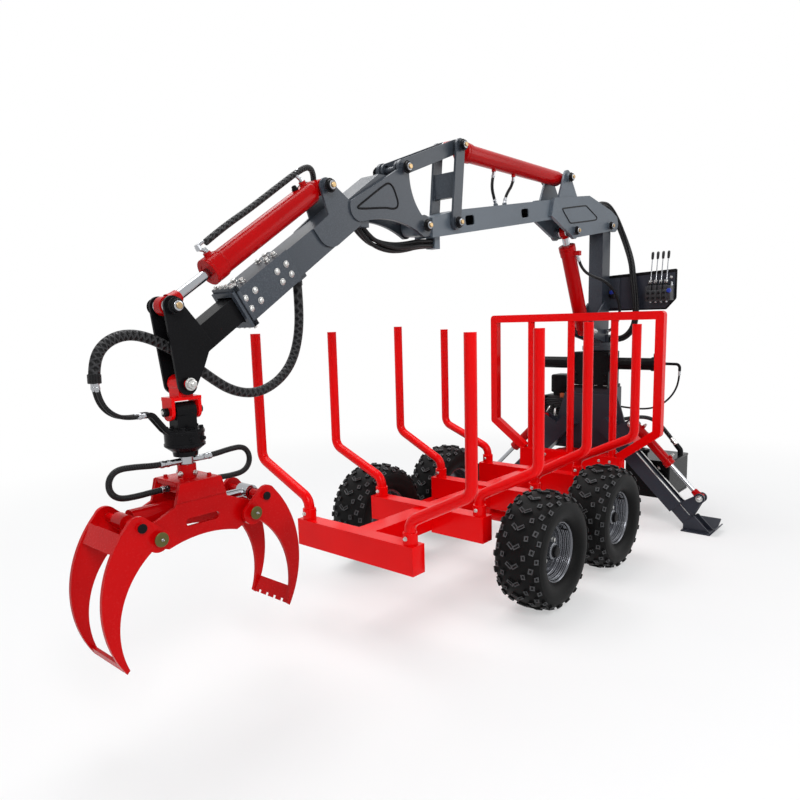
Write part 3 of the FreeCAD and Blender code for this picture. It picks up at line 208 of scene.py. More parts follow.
def blend_colour(tree, amount, first, second):
    """Mix two colours, each a tuple or another node's colour, by a pattern."""
    mix = tree.nodes.new("ShaderNodeMix")
    mix.data_type = "RGBA"
    tree.links.new(amount, mix.inputs[0])
    for socket, colour in ((mix.inputs[6], first), (mix.inputs[7], second)):
        if isinstance(colour, tuple):
            socket.default_value = (*colour, 1)
        else:
            tree.links.new(colour, socket)
    return mix.outputs[2]


def scaled(colour, factor):
    """A colour made lighter or darker."""
    return tuple(min(1.0, c * factor) for c in colour)


def softened_edges(tree, radius):
    """A normal that rounds sharp edges, and a pattern that is 1 along those edges."""
    round_edge = tree.nodes.new("ShaderNodeBevel")
    round_edge.samples = 4
    round_edge.inputs["Radius"].default_value = radius
    flat, turn = tree.nodes.new("ShaderNodeNewGeometry"), tree.nodes.new("ShaderNodeVectorMath")
    turn.operation = "DOT_PRODUCT"
    tree.links.new(round_edge.outputs["Normal"], turn.inputs[0])
    tree.links.new(flat.outputs["Normal"], turn.inputs[1])
    return round_edge.outputs["Normal"], spread(tree, turn.outputs["Value"], 0.99, 0.86)


def bumped(tree, height, strength, distance, normal=None):
    """A bump from a height pattern, on top of another normal."""
    bump = tree.nodes.new("ShaderNodeBump")
    bump.inputs["Strength"].default_value = strength
    bump.inputs["Distance"].default_value = distance
    tree.links.new(height, bump.inputs["Height"])
    if normal:
        tree.links.new(normal, bump.inputs["Normal"])
    return bump.outputs["Normal"]


def finish(name, colour, roughness, grain, depth, wear_and_highlight_colour=None, wear_and_highlight_strength=0.35, clouds=0.07, specks=None,
           speckled=0.5, metallic=0.0, specular=0.35, swing=0.05, edge=0.0016):
    """A coloured surface with broad clouds, edges painted paler (part paint wear, part painted highlight),
    optional specks, and a fine bump.
    """
    made = bpy.data.materials.new(name)
    made.use_nodes = True
    tree = made.node_tree
    shader = tree.nodes["Principled BSDF"]
    fine = noise(tree, grain, 4.0)
    paint = blend_colour(tree, spread(tree, noise(tree, 2.6), 0.35, 0.65), scaled(colour, 1 - clouds),
                         scaled(colour, 1 + clouds))
    if specks:
        paint = blend_colour(tree, spread(tree, fine, 0.46, 0.64, 0.0, speckled), paint, specks)
    normal, edges = softened_edges(tree, edge)
    patchy = spread(tree, noise(tree, 42.0), 0.38, 0.58, 0.25, 1.0)
    # Paler edges in patches: part paint wear, part a painted highlight along each rounded edge.
    wear_and_highlight_mask = combined(tree, "MULTIPLY", combined(tree, "MULTIPLY", edges, patchy), wear_and_highlight_strength)
    coloured = blend_colour(tree, wear_and_highlight_mask, paint, wear_and_highlight_colour or scaled(colour, 1.6))
    tree.links.new(coloured, shader.inputs["Base Color"])
    tree.links.new(spread(tree, fine, 0.3, 0.7, max(0.03, roughness - swing), roughness + swing),
                   shader.inputs["Roughness"])
    shader.inputs["Metallic"].default_value = metallic
    shader.inputs["Specular IOR Level"].default_value = specular
    tree.links.new(bumped(tree, fine, 0.3, depth, normal), shader.inputs["Normal"])
    return made


# %% [markdown]
# The boom and the mast are finished in a fine textured paint: a blue-grey with tiny paler specks and even
# dimples. A Voronoi pattern gives dimples of one size, which noise doesn't. The frame is a smooth gloss red.
# The cylinders get a darker copy of that red, with the shade of their round barrels painted into it, and the
# grapple a dark red whose edges are painted paler, part paint wear and part painted highlight.

# %% Paints, metals and plastics
def textured(name, colour, fleck, wear_and_highlight_colour):
    """Textured machine paint: even dimples with paler specks."""
    made = finish(name, colour, 0.34, 260, 0.0003, wear_and_highlight_colour, 0.5, 0.10, fleck, 0.55, specular=0.28)
    tree = made.node_tree
    place, cells = tree.nodes.new("ShaderNodeTexCoord"), tree.nodes.new("ShaderNodeTexVoronoi")
    cells.inputs["Scale"].default_value = 420
    tree.links.new(place.outputs["Object"], cells.inputs["Vector"])
    shader = tree.nodes["Principled BSDF"]
    under = shader.inputs["Normal"].links[0].from_socket
    tree.links.new(bumped(tree, cells.outputs["Distance"], 0.25, 0.0004, under), shader.inputs["Normal"])
    return made


red_paint = finish("red_paint", (0.80, 0.001, 0.002), 0.22, 180, 0.0001, (0.95, 0.03, 0.02), 0.35, 0.06,
                   specular=0.12)
# A darker copy of the frame's red: the shade on the round barrels, glands and rod ends is painted into it.
shaded_cylinder_red = finish("shaded_cylinder_red", (0.42, 0.001, 0.002), 0.20, 180, 0.0001, (0.70, 0.05, 0.04), 0.35,
                      0.08, specular=0.10)
grapple_red = finish("grapple_red", (0.50, 0.001, 0.002), 0.25, 140, 0.0002, (0.80, 0.06, 0.05), 0.50, 0.14,
                     specular=0.10)
boom_paint = textured("boom_paint", (0.078, 0.098, 0.122), (0.135, 0.160, 0.185), (0.22, 0.26, 0.29))
crane_paint = textured("crane_paint", (0.037, 0.045, 0.058), (0.078, 0.092, 0.108), (0.14, 0.16, 0.19))
mast_paint = textured("mast_paint", (0.028, 0.034, 0.046), (0.058, 0.068, 0.080), (0.10, 0.12, 0.14))
plate_dark = textured("plate_dark", (0.020, 0.023, 0.034), (0.036, 0.040, 0.054), (0.07, 0.08, 0.10))
black_paint = finish("black_paint", (0.0060, 0.0060, 0.0068), 0.26, 160, 0.0001, (0.06, 0.06, 0.07), 0.5,
                     0.2, specular=0.07)
# The tyre's edges are painted much paler: a painted highlight on the lugs' raised edges, with some wear of
# the rubber.
rubber = finish("tyre_rubber", (0.0045, 0.0045, 0.0047), 0.50, 200, 0.0004, (0.040, 0.041, 0.042), 0.9, 0.25,
                (0.0085, 0.0083, 0.0080), 0.6, specular=0.08, edge=0.0014)
# Paler rubber for the lugs' top rims: a painted highlight where the raised rims catch the light.
lug_rim_highlight = finish("lug_rim_highlight", (0.058, 0.059, 0.062), 0.46, 160, 0.0003, (0.11, 0.11, 0.12), 0.8, 0.35,
                  (0.020, 0.020, 0.021), 0.6, specular=0.20, edge=0.0010)
rim_grey = finish("rim_grey", (0.135, 0.140, 0.155), 0.20, 120, 0.0002, (0.42, 0.43, 0.46), 0.7, 0.15,
                  metallic=0.75, specular=0.6, edge=0.0010)
casing = finish("engine_casing", (0.020, 0.021, 0.024), 0.42, 220, 0.0004, (0.09, 0.09, 0.09), 0.5, 0.15,
                (0.034, 0.034, 0.036), 0.5)
chrome = finish("chrome", (0.38, 0.39, 0.41), 0.11, 60, 0.0001, (0.70, 0.70, 0.71), 0.3, 0.04, metallic=1.0,
                swing=0.04)
zinc = finish("zinc", (0.58, 0.58, 0.57), 0.30, 260, 0.0001, (0.75, 0.75, 0.74), 0.5, 0.10,
              (0.42, 0.41, 0.38), 0.5, metallic=1.0, edge=0.0008)
yellow_zinc = finish("yellow_zinc", (0.40, 0.27, 0.14), 0.34, 260, 0.0001, (0.70, 0.60, 0.36), 0.5, 0.15,
                     (0.28, 0.24, 0.12), 0.5, metallic=1.0, edge=0.0008)
olive_zinc = finish("olive_zinc", (0.085, 0.078, 0.022), 0.40, 200, 0.0001, (0.40, 0.36, 0.16), 0.4, 0.2,
                    metallic=0.6)
grip_plastic = finish("grip_plastic", (0.008, 0.008, 0.009), 0.38, 260, 0.0002, (0.03, 0.03, 0.03))
cap_blue = finish("cap_blue", (0.010, 0.030, 0.28), 0.34, 160, 0.0001, (0.05, 0.10, 0.45))
housing_orange = finish("housing_orange", (0.38, 0.075, 0.020), 0.40, 160, 0.0003, (0.60, 0.25, 0.10), 0.5,
                        0.2)
finishes = {"red_paint": red_paint, "grapple_red": grapple_red, "anthracite_paint": crane_paint,
            "black_paint": black_paint, "engine_casing": casing, "zinc": zinc, "chrome": chrome,
            "tyre_rubber": rubber, "rim_grey": rim_grey}
print(len(finishes), "finishes for the CAD nodes")

# %% [markdown]
# Woven hose sleeve is a fabric tube. A hose here keeps the U and V of the curve that it was swept from, so
# two wave patterns that cross at 45 degrees along those directions give the braid, at the same size on
# every hose.

# %% Hose finish
def braided(name, colour, strand_highlight, shine, along, around, depth):
    """Woven cover: two crossing wave patterns on the hose's own UV map; the colour is painted paler where a
    strand is on top, a painted highlight on its crown.
    """
    made = finish(name, colour, shine, 300, 0.0001, scaled(colour, 2.0), 0.2, specular=0.14)
    tree = made.node_tree
    shader = tree.nodes["Principled BSDF"]
    uv = tree.nodes.new("ShaderNodeTexCoord")
    crossed = None
    for turn in (1, -1):
        turned = tree.nodes.new("ShaderNodeMapping")
        turned.inputs["Scale"].default_value = (along, around * turn, 1)
        wave = tree.nodes.new("ShaderNodeTexWave")
        wave.bands_direction = "DIAGONAL"
        wave.inputs["Scale"].default_value = 1.0
        tree.links.new(uv.outputs["UV"], turned.inputs["Vector"])
        tree.links.new(turned.outputs["Vector"], wave.inputs["Vector"])
        strand = wave.outputs["Fac"]
        crossed = combined(tree, "MAXIMUM", crossed, strand) if crossed else strand
    # Where a strand lies on top, the colour is painted paler: a painted highlight on the weave.
    tree.links.new(blend_colour(tree, spread(tree, crossed, 0.55, 1.0), colour, strand_highlight),
                   shader.inputs["Base Color"])
    tree.links.new(bumped(tree, crossed, 0.7, depth), shader.inputs["Normal"])
    return made


sleeve_weave = braided("sleeve_weave", (0.0035, 0.0035, 0.004), (0.040, 0.040, 0.042), 0.42, 34, 2, 0.0045)
hose_rubber = braided("hose_rubber", (0.0040, 0.0040, 0.0045), (0.018, 0.018, 0.019), 0.32, 40, 2, 0.0016)

# %% [markdown]
# ## Hoses
# Every hose that hangs free keeps its real length. Its route is a short list of control points, and a NURBS
# spline of order 3 turns them into one smooth line. A round bevel gives a single hose. A bundle gets a bevel
# made of several small circles, so that its hoses run side by side, and a slow tilt along the line twists
# them round each other as real ones do.

# %% Hose helpers
def spline_along(name, points, tilt=0.0):
    """A curve of one open NURBS spline through the space that the control points span."""
    data = bpy.data.curves.new(name, "CURVE")
    data.dimensions = "3D"
    data.resolution_u = 10
    spline = data.splines.new("NURBS")
    spline.points.add(len(points) - 1)
    for i, (spot, place) in enumerate(zip(spline.points, points)):
        spot.co = (*place, 1)
        spot.tilt = tilt * i
    spline.order_u = 3
    spline.use_endpoint_u = True
    made = bpy.data.objects.new(name, data)
    bpy.context.scene.collection.objects.link(made)
    return made


def only(piece):
    """Select this piece and nothing else."""
    bpy.ops.object.select_all(action="DESELECT")
    piece.select_set(True)
    bpy.context.view_layer.objects.active = piece


def line_of(curve):
    """The points of the smooth line itself, read from the spline."""
    mesh = bpy.data.meshes.new_from_object(curve)
    points = [tuple(v.co) for v in mesh.vertices]
    bpy.data.meshes.remove(mesh)
    return points


def section(places, radius):
    """A bevel outline: one small circle for each hose of a bundle."""
    data = bpy.data.curves.new("section", "CURVE")
    data.dimensions = "2D"
    sides = 12
    for x, y in places:
        ring = data.splines.new("POLY")
        ring.points.add(sides - 1)
        for i, spot in enumerate(ring.points):
            spot.co = (x + radius * cos(2 * pi * i / sides), y + radius * sin(2 * pi * i / sides), 0, 1)
        ring.use_cyclic_u = True
    made = bpy.data.objects.new("section", data)
    bpy.context.scene.collection.objects.link(made)
    return made


def hose(name, points, radius, material, bundle=None, twist=0.0):
    """A hose or bundle as a mesh tube, and the smooth line that it follows."""
    curve = spline_along(name, points, twist)
    line = line_of(curve)
    if bundle:
        outline = section(*bundle)
        curve.data.bevel_mode = "OBJECT"
        curve.data.bevel_object = outline
    else:
        curve.data.bevel_depth = radius
        curve.data.bevel_resolution = 5
    curve.data.use_fill_caps = True
    only(curve)
    bpy.ops.object.convert(target="MESH")
    piece = bpy.context.object
    piece.data.materials.clear()
    piece.data.materials.append(material)
    if bundle:
        bpy.data.objects.remove(outline)
    return piece, line


def length_of(line):
    """The length of a line through its points."""
    return sum((Vector(b) - Vector(a)).length for a, b in zip(line, line[1:]))


def share_by_length(piece, line):
    """Let a hose follow its two bodies by how far along it each point is, so that it bends evenly."""
    whole, walked = length_of(line), [0.0]
    for a, b in zip(line, line[1:]):
        walked.append(walked[-1] + (Vector(b) - Vector(a)).length / whole)
    shares = piece.data.attributes["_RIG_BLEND"].data
    for vertex, share in zip(piece.data.vertices, shares):
        nearest = min(range(len(line)), key=lambda i: (Vector(line[i]) - vertex.co).length_squared)
        t = walked[nearest]
        share.value = t * t * (3 - 2 * t)


def laid_hose(name, node, points, radius, bodies, material=hose_rubber, bundle=None,
              twist=0.0):
    """Lay a hose on its body or between its two bodies, in place of its CAD solid."""
    piece, line = hose(name, points, radius, material, bundle, twist)
    if len(bodies) == 2:
        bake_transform(piece, *bodies, start=line[0], end=line[-1])
        share_by_length(piece, line)
    else:
        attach(piece, bodies[0])
    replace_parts(piece, node)
    print(node, "length", round(length_of(line), 3))


# %% [markdown]
# The hoses that run out along the telescopic beam share one woven sleeve. It hangs in a slack bow under the
# beam, because the beam slides out and needs the length, then passes between the tip plates and folds over
# towards the rotator. The sleeve is one thick tube, since its woven cover hides the hoses inside.

# %% Hoses of the dipper and its tip
laid_hose("beam_hose_sleeve", "beam_hoses", [
    (-1.372, 0, 1.520), (-1.366, 0, 1.410), (-1.378, 0, 1.296), (-1.417, 0, 1.200), (-1.490, 0, 1.134),
    (-1.590, 0, 1.100), (-1.695, 0, 1.118), (-1.790, 0, 1.180), (-1.880, 0, 1.252), (-1.970, 0, 1.309),
    (-2.060, 0, 1.334), (-2.135, 0, 1.312), (-2.178, 0, 1.255), (-2.180, 0, 1.190)],
    0.0175, ("dipper_arm", "telescope"), sleeve_weave)

for side, sign in (("left", 1), ("right", -1)):
    laid_hose("rotator_feed_" + side, "rotator_hose_" + side, [
        (-2.180, sign * 0.011, 1.189), (-2.177, sign * 0.012, 1.140), (-2.143, sign * 0.013, 1.090),
        (-2.088, sign * 0.014, 1.070), (-2.037, sign * 0.014, 1.074)],
        0.007, ("telescope", "hanger"))

knuckle_bundle = ([(0.0105, 0.0105), (-0.0105, 0.0105), (-0.0105, -0.0105), (0.0105, -0.0105)], 0.0095)
laid_hose("knuckle_hose_bundle", "knuckle_hoses", [
    (-1.040, 0, 1.752), (-0.985, 0, 1.704), (-0.911, 0, 1.676), (-0.820, 0, 1.668), (-0.728, 0, 1.678),
    (-0.635, 0, 1.698), (-0.542, 0, 1.705)],
    0.020, ("dipper_arm", "main_boom"), bundle=knuckle_bundle, twist=0.25)

# %% [markdown]
# Two hoses loop out from the grapple's neck and back into the saddle above the cylinder, one to the front
# and one to the rear. They ride wholly on the grapple's frame, so they need no blend.

# %% Hoses of the grapple
laid_hose("rear_grapple_loop", "grapple_hose_rear", [
    (-1.960, 0, 0.905), (-2.010, 0, 0.906), (-2.075, 0, 0.914), (-2.139, 0, 0.917), (-2.167, 0, 0.889),
    (-2.167, 0, 0.850), (-2.139, 0, 0.822), (-2.080, 0, 0.819), (-2.020, 0, 0.822), (-1.968, 0, 0.822)],
    0.010, ("grapple",))
laid_hose("front_grapple_loop", "grapple_hose_front", [
    (-1.834, 0, 0.905), (-1.785, 0, 0.907), (-1.723, 0, 0.915), (-1.668, 0, 0.916), (-1.641, 0, 0.888),
    (-1.641, 0, 0.850), (-1.669, 0, 0.822), (-1.728, 0, 0.819), (-1.780, 0, 0.822), (-1.826, 0, 0.822)],
    0.010, ("grapple",))

# %% [markdown]
# At the mast a bundle leaves the boom's root, arches over the pivot and comes down in front of the valve.
# It bends each time the boom is lifted, so it follows the boom at one end and the mast at the other. The
# lift cylinder's hose does the same between the cylinder's head and the mast.

# %% Hoses of the mast and boom
mast_bundle = ([(0.0135, 0), (0.0042, 0.0128), (-0.0109, 0.0079), (-0.0109, -0.0079), (0.0042, -0.0128)],
               0.0082)
laid_hose("mast_hose_bundle", "column_hoses", [
    (1.180, 0, 2.044), (1.240, 0, 2.055), (1.322, -0.003, 2.092), (1.405, -0.012, 2.090),
    (1.470, -0.034, 2.030), (1.493, -0.072, 1.935), (1.470, -0.126, 1.820), (1.405, -0.188, 1.702),
    (1.355, -0.220, 1.598), (1.342, -0.245, 1.480), (1.338, -0.256, 1.370), (1.338, -0.245, 1.272),
    (1.336, -0.192, 1.204), (1.336, -0.124, 1.186), (1.336, -0.066, 1.190)],
    0.021, ("main_boom", "mast"), bundle=mast_bundle, twist=0.22)

laid_hose("lift_cylinder_hose", "lift_hose", [
    (0.862, -0.066, 1.722), (0.867, -0.074, 1.673), (0.920, -0.092, 1.618), (1.024, -0.104, 1.594),
    (1.125, -0.112, 1.580), (1.213, -0.132, 1.540), (1.265, -0.158, 1.465), (1.285, -0.168, 1.380),
    (1.288, -0.152, 1.302), (1.290, -0.110, 1.252), (1.290, -0.062, 1.243)],
    0.009, ("lift_cylinder", "mast"))

for fore, points in (
        ("rear", [(0.010, 0, 2.106), (-0.006, 0, 2.064), (-0.008, 0, 2.018), (0.012, 0, 1.976),
                  (0.027, 0, 1.946)]),
        ("front", [(0.206, 0, 2.106), (0.192, 0, 2.066), (0.155, 0, 2.032), (0.124, 0, 1.996),
                   (0.114, 0, 1.960)])):
    laid_hose("dipper_cylinder_hose_" + fore, "dipper_hose_" + fore, points, 0.008,
              ("push_cylinder", "main_boom"))

# %% [markdown]
# Two hoses stay on the trailer itself: the slewing cylinder's pressure hose, and the thick suction hose from
# the oil tank to the pump.

# %% Hoses of the trailer
laid_hose("slewing_hose", "slew_hose", [
    (1.262, -0.575, 0.990), (1.262, -0.573, 0.925), (1.262, -0.546, 0.850), (1.262, -0.495, 0.788),
    (1.262, -0.428, 0.748), (1.262, -0.352, 0.732), (1.262, -0.258, 0.734), (1.262, -0.164, 0.742)],
    0.006, ("trailer",))
laid_hose("suction_hose_cover", "suction_hose", [
    (1.500, -0.492, 0.470), (1.503, -0.440, 0.530), (1.526, -0.378, 0.588), (1.575, -0.305, 0.620),
    (1.645, -0.210, 0.622), (1.715, -0.110, 0.600), (1.765, 0.005, 0.572), (1.780, 0.120, 0.550),
    (1.762, 0.220, 0.540), (1.705, 0.290, 0.538), (1.632, 0.310, 0.540)],
    0.014, ("trailer",), sleeve_weave)

# %% [markdown]
# ## Small pieces
# Fittings, nuts and bolts are made once each and copied to their places, every copy with its own mesh.
# Copies that ride on one body are then joined, so that a row of bolts is one piece. A turned piece starts as
# a filled circle that is pulled up ring by ring, as if on a lathe.

# %% Modelling helpers
SMOOTH_BELOW = radians(35)     # edges that turn by less than this are shaded as one curved surface
TURN_STEP = 0.4                # radians that each bolt of a row is turned further than the last


def close_edit():
    """Turn all faces of the piece in edit mode outwards, and leave edit mode."""
    bpy.ops.mesh.select_all(action="SELECT")
    bpy.ops.mesh.normals_make_consistent(inside=False)
    bpy.ops.object.mode_set(mode="OBJECT")


def turned(rings, sides=24):
    """A round shape pulled up from a circle through rings of (height, radius)."""
    height, radius = rings[0]
    bpy.ops.object.select_all(action="DESELECT")
    bpy.ops.mesh.primitive_circle_add(vertices=sides, radius=radius, fill_type="NGON",
                                      location=(0, 0, height))
    piece = bpy.context.object
    bpy.ops.object.transform_apply(location=True, rotation=True, scale=True)
    bpy.ops.object.mode_set(mode="EDIT")
    bpy.ops.mesh.select_all(action="SELECT")
    for (low, was), (high, now) in zip(rings, rings[1:]):
        bpy.ops.mesh.extrude_region_move(TRANSFORM_OT_translate={"value": (0, 0, high - low)})
        bpy.ops.transform.resize(value=(now / was, now / was, 1), center_override=(0, 0, high))
    close_edit()
    return piece


def bevelled(piece, width, segments=2):
    """Round the sharp edges of a piece."""
    only(piece)
    bpy.ops.object.modifier_add(type="BEVEL")
    soften = piece.modifiers[-1]
    soften.width, soften.segments, soften.limit_method = width, segments, "ANGLE"
    bpy.ops.object.modifier_apply(modifier=soften.name)
    return piece


def box(low, high, bevel):
    """A box with softened edges between two corners."""
    bpy.ops.object.select_all(action="DESELECT")
    middle = [(a + b) / 2 for a, b in zip(low, high)]
    bpy.ops.mesh.primitive_cube_add(size=1, location=middle)
    piece = bpy.context.object
    piece.scale = [abs(b - a) for a, b in zip(low, high)]
    bpy.ops.object.transform_apply(location=True, rotation=True, scale=True)
    return bevelled(piece, bevel)


def joined(pieces):
    """Several objects made into one."""
    bpy.ops.object.select_all(action="DESELECT")
    for piece in pieces:
        piece.select_set(True)
    bpy.context.view_layer.objects.active = pieces[0]
    if len(pieces) > 1:
        bpy.ops.object.join()
    return bpy.context.object


def placed(piece, place, towards, turn=0.0):
    """Move a piece made at the origin to its place, with its +Z turned towards a direction."""
    aim = Vector(towards).to_track_quat("Z", "Y").to_matrix().to_4x4()
    piece.matrix_world = Matrix.Translation(Vector(place)) @ aim @ Matrix.Rotation(turn, 4, "Z")
    return piece


def lathed(rings, sides, place, towards):
    """A turned piece, brought to its place."""
    return placed(turned(rings, sides), place, towards)


def doubled(master):
    """A copy of a piece, with its own mesh."""
    piece = master.copy()
    piece.data = master.data.copy()
    bpy.context.scene.collection.objects.link(piece)
    return piece


def copied(master, place, towards, turn=0.0):
    """A copy of a piece, brought to its place."""
    return placed(doubled(master), place, towards, turn)


def settled(piece, name, body, material, second=None):
    """Bring a piece's place into its mesh, name it, finish it, and let it ride on its body. Faces that were
    given the second material keep it."""
    only(piece)
    bpy.ops.object.transform_apply(location=True, rotation=True, scale=True)
    bpy.ops.object.shade_smooth_by_angle(angle=SMOOTH_BELOW)
    piece.name = piece.data.name = name
    marked = [face.index for face in piece.data.polygons if second and face.material_index == 1]
    piece.data.materials.clear()
    piece.data.materials.append(material)
    if second:
        piece.data.materials.append(second)
    for index in marked:
        piece.data.polygons[index].material_index = 1
    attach(piece, body)
    return piece


def scattered(master, name, body, places, material):
    """Copies of one small piece at (place, direction) pairs, joined into a single piece."""
    copies = [copied(master, place, towards, TURN_STEP * i) for i, (place, towards) in enumerate(places)]
    return settled(joined(copies), name, body, material)


# %% [markdown]
# A hex head is a six-sided cylinder whose top edges are chamfered by a bevel, on a round washer. A pin nut
# is the same with a threaded end that stands out of it. A dome bolt has a low rounded head.

# %% Fasteners made once
def hex_head(across, height, washer, stub=0.0):
    """A hex head on its washer, standing on the origin."""
    parts = [turned([(0, washer / 2), (height * 0.22, washer / 2), (height * 0.24, washer / 2 * 0.94)], 20)]
    bpy.ops.object.select_all(action="DESELECT")
    bpy.ops.mesh.primitive_cylinder_add(vertices=6, radius=across / 2 / cos(pi / 6), depth=height,
                                        location=(0, 0, height * 0.7))
    parts.append(bevelled(bpy.context.object, across * 0.06))
    if stub:
        parts.append(turned([(height, across * 0.30), (height + stub, across * 0.30),
                             (height + stub * 1.2, across * 0.22)], 14))
    made = joined(parts)
    only(made)
    bpy.ops.object.transform_apply(location=True, rotation=True, scale=True)
    return made


small_bolt = hex_head(0.013, 0.008, 0.018)
medium_bolt = hex_head(0.019, 0.011, 0.026)
pin_nut = hex_head(0.030, 0.013, 0.042, 0.010)
dome_bolt = turned([(0, 0.0125), (0.002, 0.0125), (0.0025, 0.0105), (0.006, 0.0098), (0.009, 0.0070),
                    (0.0098, 0.0035), (0.0092, 0.0030), (0.0070, 0.0026)], 16)
nipple = turned([(0, 0.0045), (0.004, 0.0045), (0.005, 0.0025), (0.009, 0.0032), (0.012, 0.0018)], 10)
ferrule = turned([(0, 0.90), (0.2, 1.30), (2.0, 1.30), (2.2, 1.45), (3.4, 1.45), (3.6, 1.15), (4.4, 1.12),
                  (4.5, 1.02)], 16)
masters = [small_bolt, medium_bolt, pin_nut, dome_bolt, nipple, ferrule]
print(len(masters), "small pieces made once")

# %% [markdown]
# ## Pins and nuts of the crane
# Each joint of the crane turns on a pin. Most pins end in a black boss with a bright ring and a brass tip,
# and two are held by nuts. The points below are the joints' places in the crane's middle plane, as (x, z),
# and the half width is where the plates on that joint end.

# %% Ends of the crane's pins
BOOM_PIVOT, LIFT_TOP, LIFT_FOOT = (1.300, 1.938), (0.801, 1.867), (1.090, 1.250)
PUSH_BASE, PUSH_EYE, ROCKER_FOOT = (0.715, 2.167), (-0.383, 2.161), (-0.424, 1.805)
KNUCKLE, TIE_END = (-0.661, 1.770), (-0.798, 2.000)
TOP_PIN, SWING_PIN = (-1.930, 1.416), (-1.897, 1.164)


def both_ends(point, half_width):
    """The two ends of a pin along Y, as (place, direction) pairs."""
    x, z = point
    return [((x, side * half_width, z), (0, side, 0)) for side in (-1, 1)]


BEAM_SLOPE, BEAM_START = radians(33.54), (-1.4295, 1.5660)
RAM_RISE = 0.152               # the extension cylinder's centre line above the beam's


def on_beam(along, y, high):
    """A point drawn along the telescopic beam and above its centre line, as it lies in the frame."""
    return (BEAM_START[0] - along * cos(BEAM_SLOPE) - high * sin(BEAM_SLOPE), y,
            BEAM_START[1] - along * sin(BEAM_SLOPE) + high * cos(BEAM_SLOPE))


EXTENSION_LUG = on_beam(-0.315, 0, RAM_RISE)
pin_boss = turned([(0, 0.0270), (0.003, 0.0270), (0.004, 0.0225), (0.013, 0.0215), (0.015, 0.0195),
                   (0.0152, 0.0090)], 24)
pin_ring = turned([(0.0135, 0.0165), (0.0165, 0.0165), (0.0172, 0.0155), (0.0173, 0.0060)], 20)
pin_tip = turned([(0.012, 0.0108), (0.0225, 0.0108), (0.0240, 0.0090), (0.0242, 0.0040)], 16)
masters += [pin_boss, pin_ring, pin_tip]


def pinned(name, body, places):
    """Black bosses over the ends of pins, each with a bright ring and the brass-coloured tip of the pin."""
    scattered(pin_boss, name + "_bosses", body, places, black_paint)
    scattered(pin_ring, name + "_rings", body, places, chrome)
    scattered(pin_tip, name + "_tips", body, places, yellow_zinc)


pinned("boom_pin", "main_boom", both_ends(BOOM_PIVOT, 0.086) + both_ends(LIFT_TOP, 0.086)
       + both_ends(ROCKER_FOOT, 0.084) + both_ends(PUSH_BASE, 0.086))
pinned("rocker_pin", "rocker_arm", both_ends(PUSH_EYE, 0.084))
pinned("dipper_pin", "dipper_arm", both_ends(KNUCKLE, 0.082) + both_ends(TIE_END, 0.084)
       + both_ends((EXTENSION_LUG[0], EXTENSION_LUG[2]), 0.078))
pinned("tip_pin", "telescope", both_ends(TOP_PIN, 0.065))
scattered(pin_nut, "swing_pin_nuts", "hanger", both_ends(SWING_PIN, 0.062), zinc)
scattered(pin_nut, "lift_foot_nuts", "mast", both_ends(LIFT_FOOT, 0.074), zinc)

# %% [markdown]
# The sliding beam runs on wear pads inside a bolted sleeve. Each pad is held by four bolts on the sleeve's
# sides and by four on its top.

# %% Bolts of the sleeve
PAD_PLACES = (0.058, 0.233)    # middles of the two rows of wear pads, along the beam
side_bolts, top_bolts = [], []
for along in PAD_PLACES:
    for step, rise in ((-0.026, -0.021), (0.026, -0.021), (-0.026, 0.021), (0.026, 0.021)):
        for side in (-1, 1):
            side_bolts.append((on_beam(along + step, side * 0.056, rise), (0, side, 0)))
    for step in (-0.020, 0.020):
        for y in (-0.024, 0.024):
            top_bolts.append((on_beam(along + step, y, 0.062), (-sin(BEAM_SLOPE), 0, cos(BEAM_SLOPE))))
scattered(dome_bolt, "sleeve_side_bolts", "dipper_arm", side_bolts, zinc)
scattered(medium_bolt, "sleeve_top_bolts", "dipper_arm", top_bolts, zinc)

# %% [markdown]
# Plates that are welded on are outlined by a line pressed or cut into them. It is drawn as a thin closed
# round rod sunk to half its depth, which catches light on one side and shade on the other, as the line does.

# %% Lines on the boom's cheek and the knuckle
def plate_lines(name, outline, half_width, body, thickness=0.0045):
    """The same closed line on both outer faces of a pair of plates."""
    rods = []
    for side in (-1, 1):
        data = bpy.data.curves.new(name, "CURVE")
        data.dimensions = "3D"
        data.resolution_u = 6
        spline = data.splines.new("NURBS")
        spline.points.add(len(outline) - 1)
        for spot, (x, z) in zip(spline.points, outline):
            spot.co = (x, side * half_width, z, 1)
        spline.order_u = 3
        spline.use_cyclic_u = True
        data.bevel_depth = thickness
        data.bevel_resolution = 2
        rod = bpy.data.objects.new(name, data)
        bpy.context.scene.collection.objects.link(rod)
        only(rod)
        bpy.ops.object.convert(target="MESH")
        rods.append(bpy.context.object)
    return settled(joined(rods), name, body, black_paint)


plate_lines("boom_cheek_line", [
    (0.632, 1.978), (0.650, 1.983), (0.930, 2.029), (0.955, 2.030), (0.972, 2.024), (1.095, 1.982),
    (1.112, 1.974), (1.100, 1.960), (1.078, 1.955), (0.760, 1.908), (0.738, 1.908), (0.722, 1.918)],
    0.0715, "main_boom")
plate_lines("knuckle_line", [
    (-1.096, 1.803), (-1.080, 1.815), (-0.935, 1.908), (-0.900, 1.925), (-0.872, 1.912), (-0.850, 1.870),
    (-0.842, 1.845), (-0.852, 1.826), (-0.885, 1.820), (-0.920, 1.822), (-1.075, 1.800)],
    0.0655, "dipper_arm")
print("pins, bolts and plate lines placed")

# %% [markdown]
# ## Wheels
# A low-pressure off-road tyre is a round balloon with separate rubber lugs. A texture could fake the lugs,
# but they show in the outline, so they are modelled. The carcass is an outline of the tyre's wall, built
# point by point and spun round the axle. One lug is a block with a rim and a sunken middle. It is copied
# round the tyre in rows, each copy turned with the wheel.

# %% Spinning an outline round the axle
WELD = 0.00005                 # points closer than this are made one


